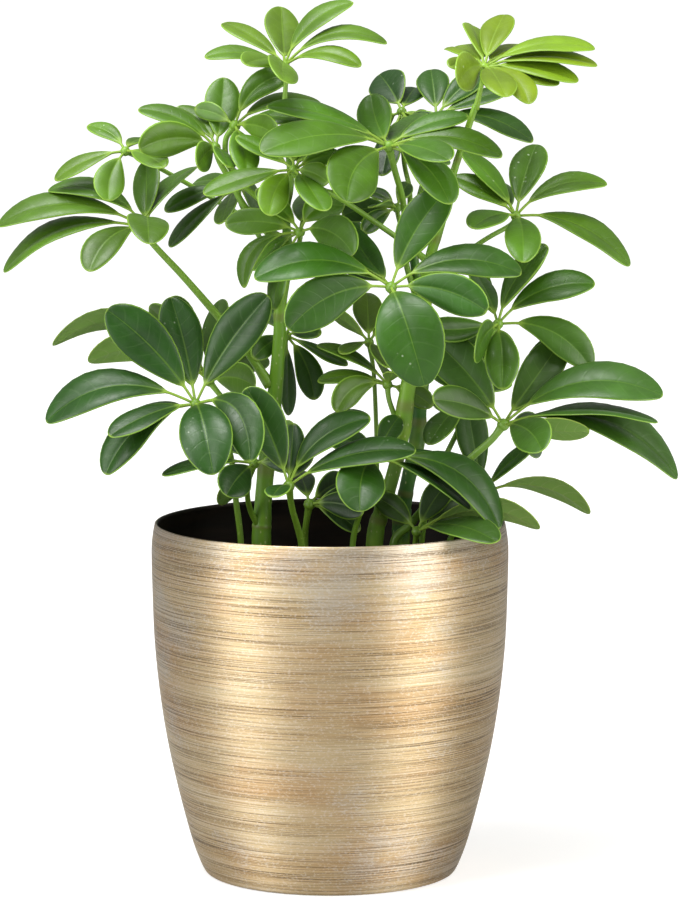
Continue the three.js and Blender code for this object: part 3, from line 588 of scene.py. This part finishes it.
def colour(text):
    """A colour from its six hex digits, in Blender's linear values."""
    values = [int(text[i:i + 2], 16) / 255 for i in (1, 3, 5)]
    linear = [v / 12.92 if v <= 0.04045 else ((v + 0.055) / 1.055) ** 2.4 for v in values]
    return (*linear, 1.0)


# Materials

def leaf_material(name, under):
    """Waxy blade: midrib, side veins, pale margin, soft mottling. Attributes carry the leaf's own tint."""
    s = Shader(name)
    place = s.object_place()
    tint = s.attribute("tint", "Color")
    across = s.attribute("across_mm")
    edge = s.attribute("edge_mm")
    along = s.attribute("along")
    width = s.attribute("half_mm")
    off_rib = s.math("ABSOLUTE", across)
    mottle = s.noise(place, 55.0, 3.0)
    fine = s.noise(place, 420.0, 3.0)
    shade = s.fade(mottle, 0.3, 0.7, 0.8, 1.14)
    body = s.mix(1.0, tint, s.node("ShaderNodeCombineColor", None, i0=shade, i1=shade, i2=shade).outputs[0],
                 "MULTIPLY")
    if under:
        body = s.mix(0.55, body, colour("#8ab256"))
    # Side veins leave the midrib at a slant and bend towards the tip
    slant = s.math("DIVIDE", off_rib, s.math("ADD", width, 0.01))
    bent = s.times(s.math("POWER", slant, 1.3), 1.1)
    run = s.math("SUBTRACT", s.times(along, 9.0), bent)
    wave = s.math("ABSOLUTE", s.math("SUBTRACT", s.math("FRACT", run), 0.5))
    veins = s.times(s.fade(wave, 0.0, 0.09, 1.0, 0.0), s.fade(slant, 0.95, 0.5, 0.0, 1.0))
    rib_wide = s.fade(along, 0.15, 1.0, 0.62, 0.12)
    rib = s.math("SUBTRACT", 1.0, s.math("DIVIDE", off_rib, rib_wide), clamp=True)
    rib = s.fade(rib, 0.0, 0.55)
    margin = s.fade(edge, 0.3, 0.7, 1.0, 0.0)
    pale = colour("#a9bf52" if under else "#93bd45")
    vein_tone = colour("#a5ad78" if under else "#86a867")
    body = s.mix(s.times(veins, 0.2 if under else 0.04), body, vein_tone)
    body = s.mix(s.times(rib, 0.16), body, pale)
    body = s.mix(s.times(margin, 0.62), body, pale)
    # The foot of the blade and its stalk are yellow-green
    foot = s.fade(along, 0.1, 0.34, 1.0, 0.0)
    narrow = s.fade(width, 0.8, 3.2, 1.0, 0.0)
    stalk_tone = colour("#86a53a")
    body = s.mix(s.times(s.math("MAXIMUM", s.times(foot, 0.25), narrow), 0.85), body, stalk_tone)
    speck = s.node("ShaderNodeTexVoronoi", {"feature": "F1"}, Vector=place, Scale=330.0).outputs["Distance"]
    patch = s.fade(s.noise(place, 28.0, 1.0), 0.64, 0.74)
    dust = s.times(s.fade(speck, 0.1, 0.2, 1.0, 0.0), patch)
    if not under:
        body = s.mix(s.times(dust, 0.5), body, colour("#c9d6bd"))
    vein_relief = s.times(veins, 0.8 if under else -0.6)
    relief = s.math("ADD", vein_relief, s.times(fine, 0.5))
    normal = s.bump(relief, 0.25, 0.00025)
    low, high = (0.55, 0.68) if under else (0.34, 0.48)
    rough = s.fade(fine, 0.3, 0.7, low, high)
    return s.finish(Base_Color=body, Roughness=rough, Normal=normal, Coat_Weight=0.0 if under else 0.06,
                    Coat_Roughness=0.22, Specular_IOR_Level=0.25 if under else 0.34)


def stalk_material():
    """Leaf stalks and hubs: smooth yellow-green, darker where they are old."""
    s = Shader("leaf_stalk_green")
    place = s.object_place()
    tint = s.attribute("tint", "Color")
    streak = s.noise(s.stretch(place, 260.0, 260.0, 30.0), 1.0, 3.0)
    young = colour("#84aa2a")
    body = s.mix(0.45, young, tint)
    body = s.mix(s.fade(streak, 0.35, 0.7, 0.0, 0.35), body, colour("#5d7f28"))
    fleck = s.noise(place, 900.0, 2.0)
    body = s.mix(s.fade(fleck, 0.62, 0.75, 0.0, 0.3), body, colour("#c0cf76"))
    return s.finish(Base_Color=body, Roughness=0.42, Normal=s.bump(streak, 0.2, 0.0002))


def trunk_material():
    """Green trunk: long streaks, pale pores, duller and browner towards its foot."""
    s = Shader("trunk_green")
    place = s.object_place()
    tint = s.attribute("tint", "Color")
    streak = s.noise(s.stretch(place, 300.0, 300.0, 22.0), 1.0, 4.0)
    cloud = s.noise(place, 60.0, 2.0)
    height = s.node("ShaderNodeSeparateXYZ", None, Vector=place).outputs["Z"]
    body = s.mix(s.fade(streak, 0.3, 0.7, 0.0, 0.35), tint, colour("#3f7015"))
    body = s.mix(s.fade(cloud, 0.5, 0.75, 0.0, 0.45), body, colour("#9fba34"))
    body = s.mix(s.fade(height, 0.2, 0.125, 0.0, 0.25), body, colour("#4f6a26"))
    pore = s.node("ShaderNodeTexVoronoi", {"feature": "F1"}, Vector=s.stretch(place, 1.0, 1.0, 0.55),
                  Scale=420.0).outputs["Distance"]
    body = s.mix(s.fade(pore, 0.08, 0.2, 0.45, 0.0), body, colour("#c3c98c"))
    ring = s.attribute("ring")
    body = s.mix(s.times(ring, 0.6), body, colour("#6f6b35"))
    relief = s.math("ADD", s.times(streak, 0.7), s.fade(pore, 0.05, 0.2, 0.6, 0.0))
    return s.finish(Base_Color=body, Roughness=0.48, Normal=s.bump(relief, 0.35, 0.0004))


def pot_material():
    """Brushed gold: fine level scratches over dull gold, with silver and orange patches."""
    s = Shader("pot_brushed_gold")
    place = s.object_place()
    hair = s.noise(s.stretch(place, 14.0, 14.0, 3300.0), 1.0, 3.0, 0.65)
    thread = s.noise(s.stretch(place, 13.0, 13.0, 1900.0), 1.0, 3.0, 0.7)
    band = s.noise(s.stretch(place, 5.0, 5.0, 90.0), 1.0, 4.0, 0.6)
    cloud = s.noise(s.stretch(place, 22.0, 22.0, 34.0), 1.0, 4.0, 0.6)
    grain = s.noise(s.stretch(place, 800.0, 800.0, 1400.0), 1.0, 2.0, 0.6)
    rust = s.noise(s.stretch(place, 14.0, 14.0, 30.0), 1.3, 3.0)
    height = s.node("ShaderNodeSeparateXYZ", None, Vector=place).outputs["Z"]
    gold = s.mix(s.fade(band, 0.3, 0.7), colour("#c6ab80"), colour("#d3c09b"))
    gold = s.mix(s.fade(rust, 0.45, 0.72, 0.0, 0.36), gold, colour("#b98449"))
    # Silver shows most near the rim and above the foot
    rim = s.fade(height, 0.1, 0.154, 0.0, 0.16)
    foot = s.fade(height, 0.05, 0.0, 0.0, 0.08)
    worn = s.math("ADD", s.math("ADD", cloud, s.times(grain, 0.3)), s.math("ADD", rim, foot))
    gold = s.mix(s.fade(worn, 0.68, 0.92, 0.0, 0.55), gold, colour("#cac6bf"))
    scratch = s.times(s.fade(hair, 0.5, 0.38), s.fade(band, 0.7, 0.4, 0.35, 0.9))
    gold = s.mix(scratch, gold, colour("#63533f"))
    groove = s.times(s.fade(thread, 0.41, 0.31), s.fade(cloud, 0.62, 0.42, 0.2, 0.6))
    gold = s.mix(groove, gold, colour("#5b4d3c"))
    gold = s.mix(s.fade(hair, 0.53, 0.67, 0.0, 0.5), gold, colour("#e9e0cf"))
    gold = s.mix(s.fade(grain, 0.52, 0.66, 0.0, 0.3), gold, colour("#e9e2d6"))
    rough = s.fade(thread, 0.3, 0.7, 0.5, 0.58)
    relief = s.math("ADD", hair, s.times(grain, 0.6))
    # The scratches run round the pot, so its highlights spread up and down
    return s.finish(Base_Color=gold, Metallic=1.0, Roughness=rough, Anisotropic=0.8,
                    Anisotropic_Rotation=0.25, Normal=s.bump(relief, 0.2, 0.00015))


def pot_inside_material():
    """The unlit inside of the pot: painted shade, dark brown for the shade it lies in, with a dull sheen."""
    s = Shader("pot_dark_inside")
    place = s.object_place()
    cloud = s.noise(s.stretch(place, 20.0, 20.0, 160.0), 1.0, 3.0)
    # Painted shade: near-black browns stand in for the shade inside the pot
    body = s.mix(s.fade(cloud, 0.35, 0.65), colour("#120c08"), colour("#20160e"))
    return s.finish(Base_Color=body, Metallic=0.6, Roughness=0.5, Normal=s.bump(cloud, 0.15, 0.0003))


def soil_material():
    """Damp peaty mix: black-brown crumbs with lighter bits."""
    s = Shader("potting_mix")
    place = s.object_place()
    crumb = s.noise(place, 420.0, 6.0, 0.7)
    lump = s.noise(place, 90.0, 3.0)
    body = s.mix(s.fade(crumb, 0.35, 0.7), colour("#120c08"), colour("#3a2a1c"))
    body = s.mix(s.fade(lump, 0.6, 0.75, 0.0, 0.5), body, colour("#4b3a28"))
    return s.finish(Base_Color=body, Roughness=0.95, Normal=s.bump(crumb, 0.9, 0.0012))


def perlite_material():
    s = Shader("perlite_grains")
    grain = s.noise(s.object_place(), 700.0, 3.0)
    body = s.mix(s.fade(grain, 0.3, 0.7), colour("#cfcabd"), colour("#efece2"))
    return s.finish(Base_Color=body, Roughness=0.85, Normal=s.bump(grain, 0.5, 0.0005))


# Mesh building

def new_object(name, data):
    made = bpy.data.objects.new(name, data)
    bpy.context.scene.collection.objects.link(made)
    return made


class Build:
    """Vertices, faces, material numbers and named values that become one object."""

    def __init__(self):
        self.points = []
        self.faces = []
        self.slots = []
        self.values = {"across_mm": [], "edge_mm": [], "along": [], "half_mm": [], "ring": []}
        self.tints = []

    def add(self, point, tint, across=0.0, edge=9.0, along=0.5, half=9.0, ring=0.0):
        self.points.append(point * MM)
        self.tints.append(tint)
        for key, value in zip(self.values, (across, edge, along, half, ring)):
            self.values[key].append(value)
        return len(self.points) - 1

    def face(self, corners, material):
        self.faces.append(corners)
        self.slots.append(material)

    def object(self, name, materials):
        mesh = bpy.data.meshes.new(name)
        mesh.from_pydata([tuple(p) for p in self.points], [], self.faces)
        for material in materials:
            mesh.materials.append(material)
        mesh.polygons.foreach_set("material_index", self.slots)
        mesh.polygons.foreach_set("use_smooth", [True] * len(self.faces))
        for key, values in self.values.items():
            layer = mesh.attributes.new(key, "FLOAT", "POINT")
            layer.data.foreach_set("value", values)
        layer = mesh.attributes.new("tint", "FLOAT_COLOR", "POINT")
        layer.data.foreach_set("color", [v for tint in self.tints for v in tint])
        mesh.validate()
        return new_object(name, mesh)


def tube(build, points, radii, sides, tint, material, rings=None):
    """A closed round bar along a row of points."""
    corners = bar_corners(points, radii, sides)
    first = len(build.points)
    for i, ring in enumerate(corners):
        for corner in ring:
            build.add(corner, tint, ring=rings[i] if rings else 0.0)
    for i in range(len(corners) - 1):
        for k in range(sides):
            a = first + i * sides + k
            b = first + i * sides + (k + 1) % sides
            build.face((a, b, b + sides, a + sides), material)
    build.face(tuple(first + k for k in reversed(range(sides))), material)
    last = first + (len(corners) - 1) * sides
    build.face(tuple(last + k for k in range(sides)), material)


def smooth_way(points, values, steps):
    """More points on a smooth curve through the points, with the values between them."""
    way, between = [], []
    count = len(points)
    for i in range(count - 1):
        a, b = points[i], points[i + 1]
        before = points[i - 1] if i else a * 2 - b
        after = points[i + 2] if i + 2 < count else b * 2 - a
        for k in range(steps):
            t = k / steps
            way.append((a * 2 + (b - before) * t + (before * 2 - a * 5 + b * 4 - after) * t * t
                        + (a * 3 - before - b * 3 + after) * t ** 3) / 2)
            ease = t * t * (3 - 2 * t)
            between.append(values[i] * (1 - ease) + values[i + 1] * ease)
    way.append(points[-1])
    between.append(values[-1])
    return way, between


def ball(build, centre, radius, tint, material, turns=10, levels=6):
    """A small round swelling."""
    rows = []
    for level in range(1, levels):
        lean = math.pi * level / levels
        row = []
        for k in range(turns):
            turn = 2 * math.pi * k / turns
            out = Vector((math.sin(lean) * math.cos(turn), math.sin(lean) * math.sin(turn), math.cos(lean)))
            row.append(build.add(centre + out * radius, tint))
        rows.append(row)
    top = build.add(centre + Vector((0, 0, radius)), tint)
    foot = build.add(centre - Vector((0, 0, radius)), tint)
    for k in range(turns):
        n = (k + 1) % turns
        build.face((top, rows[0][k], rows[0][n]), material)
        build.face((foot, rows[-1][n], rows[-1][k]), material)
        for upper, lower in zip(rows, rows[1:]):
            build.face((upper[k], lower[k], lower[n], upper[n]), material)


# Leaves

BLADE_TOP, BLADE_UNDER, STALK = 0, 1, 2
ACROSS = [-1, -0.93, -0.72, -0.4, -0.1, 0, 0.1, 0.4, 0.72, 0.93, 1]
ALONG = [0, 0.06, 0.12, 0.15, 0.17, 0.2, 0.24, 0.29, 0.35, 0.42, 0.5, 0.58, 0.66, 0.74, 0.81, 0.87,
         0.915, 0.95, 0.975, 0.99, 0.999]
BLADE_THICK = 0.8
BLADE_DEPTH = 0.58
BLADE_LONG = 0.985
# How strongly red, green and blue of a leaf's tone show
TINT_SHARES = (1.05, 0.96, 0.45)


def blade_share(along):
    """The share of the full width at a place along a leaflet, from its narrow foot to its round tip."""
    past = (along - FOOTSTALK_SHARE) / (1 - FOOTSTALK_SHARE)
    if past <= 0:
        return 0.0
    return max(0.0, math.sin(math.pi * min(past, 1.0) ** 1.4)) ** 0.5


def add_leaflet(build, leaf, row, bend, tint, chance):
    line = leaflet_line(leaf, row, bend)
    length = (line[2] - line[0]).length
    full_width = max(abs(row[3]) * BLADE_BROAD, length * LEAFLET_SLIM)
    across = leaflet_across(leaf, row, line, full_width)
    start = FOOTSTALK_START / (2 * (line[1] - line[0]).length)

    def side_face(share):
        along = line_along(line, share)
        side = (across - along * across.dot(along)).normalized()
        return side, side.cross(along)

    upper = side_face(0.5)[1]
    facing = -1 if upper.z - 0.4 * upper.y < 0 else 1
    wave = chance.uniform(0.0, 0.05)
    phase = chance.uniform(0, ROUND)
    bulge = chance.uniform(0.05, 0.11)
    shift = chance.uniform(-0.05, 0.05)
    rings = []
    for spot in ALONG:
        share = max(spot * BLADE_LONG, start)
        middle = line_point(line, share)
        side, face = side_face(share)
        face = face * facing
        narrowest = FOOTSTALK_WIDE / 2 * min(1, (1 - spot) * 40)
        half = max(full_width * blade_share(spot) / 2, narrowest)
        flat = min(1.0, max(0.0, (half - 0.6) / 2.0))
        thick = FOOTSTALK_WIDE * (1 - flat) + BLADE_THICK * flat
        if spot > 0.95:
            thick *= max(0.15, math.sqrt((1.0 - spot) / 0.05))
        top, under = [], []
        for t in ACROSS:
            round_off = math.sqrt(max(0.0, 1 - abs(t) ** (2 + 4 * flat)))
            sunk = -LEAFLET_FOLD * half * 0.7 * (1 - abs(t)) ** 1.4 * flat
            swell = bulge * half * math.sin(math.pi * abs(t)) * flat
            ripple = wave * half * t * t * math.sin(spot * 9 + phase + (1.5 if t > 0 else 0)) * flat
            middle_height = sunk + swell + ripple
            off = t * half
            groove = 0.16 * math.exp(-(off / 0.5) ** 2) * flat * (1 - spot)
            keel = 0.5 * math.exp(-(off / 0.6) ** 2) * flat * (1 - spot)
            lean = middle + side * (off + shift * half * math.sin(math.pi * spot) * flat)
            details = dict(across=off, edge=half * (1 - abs(t)), along=spot, half=half)
            high = middle_height + thick / 2 * round_off - groove
            low = middle_height - thick / 2 * round_off - keel
            top.append(build.add(lean + face * high, tint, **details))
            if abs(t) < 1:
                under.append(build.add(lean + face * low, tint, **details))
            else:
                under.append(top[-1])
        rings.append((top, under))
    count = len(ACROSS)
    # Faces point out: the order of the corners turns with the blade's own facing
    along = line_along(line, 0.5)
    side, face = side_face(0.5)
    turned = side.cross(along).dot(face * facing) < 0
    for (top_a, under_a), (top_b, under_b) in zip(rings, rings[1:]):
        for k in range(count - 1):
            quad = (top_a[k], top_a[k + 1], top_b[k + 1], top_b[k])
            back = (under_a[k], under_b[k], under_b[k + 1], under_a[k + 1])
            build.face(quad[::-1] if turned else quad, BLADE_TOP)
            build.face(back[::-1] if turned else back, BLADE_UNDER)
    for (top, under), at_tip in ((rings[0], False), (rings[-1], True)):
        ring = top + under[-2:0:-1]
        build.face(tuple(ring if at_tip != turned else ring[::-1]), BLADE_TOP)


def add_stalk(build, leaf, bend, tint):
    points = stalk_points(leaf, bend)
    radii = bar_radii(leaf, len(points))
    way, girth = smooth_way(points, radii, 7)
    count = len(way)
    # A little swelling where the leaflets meet and at the foot
    girth = [r * (1 + 0.35 * math.exp(-(i / 3.0) ** 2) + 0.3 * math.exp(-((count - 1 - i) / 3.0) ** 2))
             for i, r in enumerate(girth)]
    tube(build, way, girth, 12, tint, STALK)
    ball(build, points[0], leaf["girth"][0] * 0.5 + HUB_SWELL, tint, STALK)


def shade_of(base, chance, much):
    """The base colour a little lighter or darker and a little yellower or bluer."""
    light = BLADE_DEPTH * (1 + chance.uniform(-much, much))
    warm = chance.uniform(-much, much) * 0.5
    red, green, blue = (part * share * light for part, share in zip(base, TINT_SHARES))
    return (red * (1 + warm), green, blue * (1 - warm), 1.0)


def make_leaf(name, leaf, materials):
    chance = random.Random(name)
    tree = corners_of(name)
    base = colour(leaf["tone"])
    build = Build()
    for row in leaf["leaflets"]:
        tint = shade_of(base, chance, 0.16)
        bend = bend_of_leaflet(tree, leaf, row)
        if bend is not None:
            add_leaflet(build, leaf, row, bend, tint, chance)
    add_stalk(build, leaf, bend_of_stalk(tree, leaf), base)
    made = build.object("foliage_" + name[5:], materials)
    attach(made, "root")
    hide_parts(name)


# Trunks, pot and potting mix

TRUNK_SIDES = 20
TRUNK_TONES = {"trunk_left": "#6b9a1c", "trunk_front": "#74a020", "trunk_back": "#2f6214"}


def make_trunk(name, material):
    rows = TRUNKS[name]
    points = [seen(x, z, nearness) for x, z, nearness, _ in rows]
    radii = [row[3] / 2 for row in rows]
    foot = points[0].copy()
    foot.z = SOIL_TOP - STEM_DEPTH
    way, girth = smooth_way([foot] + points, [radii[0]] + radii, 8)
    chance = random.Random(name)
    rings = []
    for i in range(len(way)):
        joint = (i + 4) % 16 == 0 or (i + 3) % 16 == 0
        rings.append(0.8 if joint else 0.0)
        girth[i] *= 1.05 if joint else 1 + chance.uniform(-0.015, 0.015)
    build = Build()
    tube(build, way, girth, TRUNK_SIDES, colour(TRUNK_TONES[name]), 0, rings)
    made = build.object("stem_" + name[6:], [material])
    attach(made, "root")
    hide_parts(name)


def turned_mesh(name, profile, sides, materials, slots):
    """A turned mesh from [height, radius] pairs in mm that start and end on the axis."""
    points, faces, chosen = [], [], []
    rows = []
    for z, r in profile:
        if r < 0.001:
            rows.append([len(points)])
            points.append((0, 0, z * MM))
            continue
        rows.append(list(range(len(points), len(points) + sides)))
        for k in range(sides):
            turn = 2 * math.pi * k / sides
            points.append((r * MM * math.cos(turn), r * MM * math.sin(turn), z * MM))
    for i, (a, b) in enumerate(zip(rows, rows[1:])):
        for k in range(sides):
            n = (k + 1) % sides
            if len(a) == 1:
                faces.append((a[0], b[n], b[k]))
            elif len(b) == 1:
                faces.append((a[k], a[n], b[0]))
            else:
                faces.append((a[k], a[n], b[n], b[k]))
            chosen.append(slots[i])
    mesh = bpy.data.meshes.new(name)
    mesh.from_pydata(points, [], faces)
    for material in materials:
        mesh.materials.append(material)
    mesh.polygons.foreach_set("material_index", chosen)
    mesh.polygons.foreach_set("use_smooth", [True] * len(faces))
    return new_object(name, mesh)


def fine_profile(profile, steps):
    """More [height, radius] pairs on a smooth curve through the profile's."""
    points = [Vector((z, r, 0)) for z, r in profile]
    way, _ = smooth_way(points, [0] * len(points), steps)
    return [[p.x, p.y] for p in way]


def make_pot():
    outside = fine_profile(POT_PROFILE, 5)
    inside = [[z, r - POT_WALL] for z, r in fine_profile(POT_PROFILE[2:], 3)][::-1]
    profile = [[0, 0], [0, 30]] + outside + POT_RIM + inside
    profile += [[POT_FLOOR, POT_FLOOR_RADIUS], [POT_FLOOR, 0]]
    profile = [[min(z, RIM_TOP), r] for z, r in profile]
    split = 2 + len(outside) + 1
    slots = [0 if i < split else 1 for i in range(len(profile) - 1)]
    made = turned_mesh("gold_pot", profile, POT_SIDES, [pot_material(), pot_inside_material()], slots)
    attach(made, "root")
    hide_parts("pot")


# The potting mix's top, its sides below it as [height, radius], and what lies on it
SOIL_EDGE = 73.6
SOIL_SIDES = [[118, 73.4], [60, 68.2], [6.6, 54.6], [POT_FLOOR + 0.3, 50]]
EDGE_SINKS = 1.6
CRUMBS = 330
PERLITE_EVERY = 9


def make_soil():
    """The mix's crumbly top over its plain sides, with loose crumbs and perlite on it."""
    chance = random.Random(11)
    build = Build()
    grey = (0.05, 0.04, 0.03, 1.0)
    turns, levels = 110, 44
    humps = [(chance.uniform(0, ROUND), chance.uniform(0.05, 0.16), chance.uniform(0, ROUND))
             for _ in range(16)]
    rows = []
    for level in range(levels + 1):
        r = SOIL_EDGE * level / levels
        row = []
        for k in range(turns if level else 1):
            turn = 2 * math.pi * k / turns
            x, y = r * math.cos(turn), r * math.sin(turn)
            lift = sum(math.sin((x * math.cos(a) + y * math.sin(a)) * f * 2 + p) for a, f, p in humps) * 0.16
            lift += chance.uniform(-0.45, 0.45) - EDGE_SINKS * (r / SOIL_EDGE) ** 6
            row.append(build.add(Vector((x, y, SOIL_TOP - 0.6 + lift)), grey))
        rows.append(row)
    for z, r in SOIL_SIDES:
        row = []
        for k in range(turns):
            turn = 2 * math.pi * k / turns
            row.append(build.add(Vector((r * math.cos(turn), r * math.sin(turn), z)), grey))
        rows.append(row)
    for k in range(turns):
        build.face((rows[0][0], rows[1][k], rows[1][(k + 1) % turns]), 0)
    for inner, outer in zip(rows[1:], rows[2:]):
        for k in range(turns):
            n = (k + 1) % turns
            build.face((inner[k], outer[k], outer[n], inner[n]), 0)
    build.face(tuple(reversed(rows[-1])), 0)
    for i in range(CRUMBS):
        out = math.sqrt(chance.random()) * 70
        turn = chance.uniform(0, ROUND)
        size = chance.uniform(0.7, 2.2)
        height = SOIL_TOP - 0.2 - EDGE_SINKS * (out / SOIL_EDGE) ** 6
        centre = Vector((out * math.cos(turn), out * math.sin(turn), height))
        first = len(build.points)
        white = i % PERLITE_EVERY == 0
        ball(build, centre, size * (0.8 if white else 1), grey, 1 if white else 0, 6, 4)
        for j in range(first, len(build.points)):
            off = build.points[j] - centre * MM
            build.points[j] = centre * MM + off * chance.uniform(0.6, 1.15)
    made = build.object("peat_mix", [soil_material(), perlite_material()])
    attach(made, "root")
    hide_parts("potting_mix")


# Camera, light and floor

# The lamps: name, place, width and height, power and tone, all turned to the point LIT
LIT = Vector((0, 0, 0.2))
LAMPS = [
    ("key_left", (-1.7, -1.05, 1.0), (1.3, 2.0), 38, (1, 1, 1)),
    ("strip_right", (1.76, -0.98, 0.85), (1.5, 2.0), 46, (1.0, 0.98, 0.94)),
    ("top", (-0.35, -0.3, 1.9), (1.0, 1.0), 36, (1, 1, 1)),
]
WORLD_LIGHT = 0.36
FLOOR_REACH = 40.0


def make_camera():
    data = bpy.data.cameras.new("camera")
    data.sensor_fit = "AUTO"
    data.sensor_width = SENSOR
    data.lens = SENSOR * FOCAL_PIXELS / PHOTO_HEIGHT
    data.clip_end = 100
    camera = new_object("camera", data)
    camera.location = EYE * MM
    camera.rotation_euler = (math.radians(90 - CAMERA_PITCH), 0, 0)
    bpy.context.scene.camera = camera


def area_light(name, place, size, power, tone):
    data = bpy.data.lights.new(name, "AREA")
    data.shape = "RECTANGLE"
    data.size, data.size_y = size
    data.energy = power
    data.color = tone
    lamp = new_object(name, data)
    lamp.location = place
    lamp.rotation_euler = (LIT - Vector(place)).to_track_quat("-Z", "Y").to_euler()


def make_studio():
    world = bpy.data.worlds.new("studio")
    bpy.context.scene.world = world
    world.use_nodes = True
    tree = world.node_tree
    sky = tree.nodes["Background"]
    sky.inputs["Color"].default_value = (1, 1, 1, 1)
    # The backdrop is white, and softer than that as a light
    path = tree.nodes.new("ShaderNodeLightPath")
    strength = tree.nodes.new("ShaderNodeMapRange")
    strength.inputs["To Min"].default_value = WORLD_LIGHT
    strength.inputs["To Max"].default_value = 1.0
    tree.links.new(path.outputs["Is Camera Ray"], strength.inputs["Value"])
    tree.links.new(strength.outputs["Result"], sky.inputs["Strength"])
    for lamp in LAMPS:
        area_light(*lamp)
    s = Shader("floor_white")
    cloud = s.noise(s.object_place(), 3.0, 2.0)
    tone = s.mix(s.fade(cloud, 0.3, 0.7), (0.56, 0.56, 0.56, 1), (0.58, 0.58, 0.58, 1))
    off = s.node("ShaderNodeVectorMath", {"operation": "LENGTH"}, Vector=s.object_place()).outputs["Value"]
    glow = s.fade(off, 0.3, 2.5, 0.58, 0.88)
    seen_directly = s.node("ShaderNodeLightPath").outputs["Is Camera Ray"]
    white = s.finish(Base_Color=tone, Roughness=0.9, Specular_IOR_Level=0.1, Emission_Color=(1, 1, 1, 1),
                     Emission_Strength=s.times(glow, seen_directly))
    mesh = bpy.data.meshes.new("floor")
    far = FLOOR_REACH
    mesh.from_pydata([(-far, -far, 0), (far, -far, 0), (far, far, 0), (-far, far, 0)], [], [(0, 1, 2, 3)])
    mesh.materials.append(white)
    floor = new_object("floor", mesh)
    bpy.context.scene.view_settings.view_transform = "Standard"


make_camera()
make_studio()
make_pot()
make_soil()
trunk = trunk_material()
for name in TRUNKS:
    make_trunk(name, trunk)
blades = [leaf_material("leaf_top_green", False), leaf_material("leaf_under_green", True), stalk_material()]
for name, leaf in LEAVES.items():
    make_leaf(name, leaf, blades)
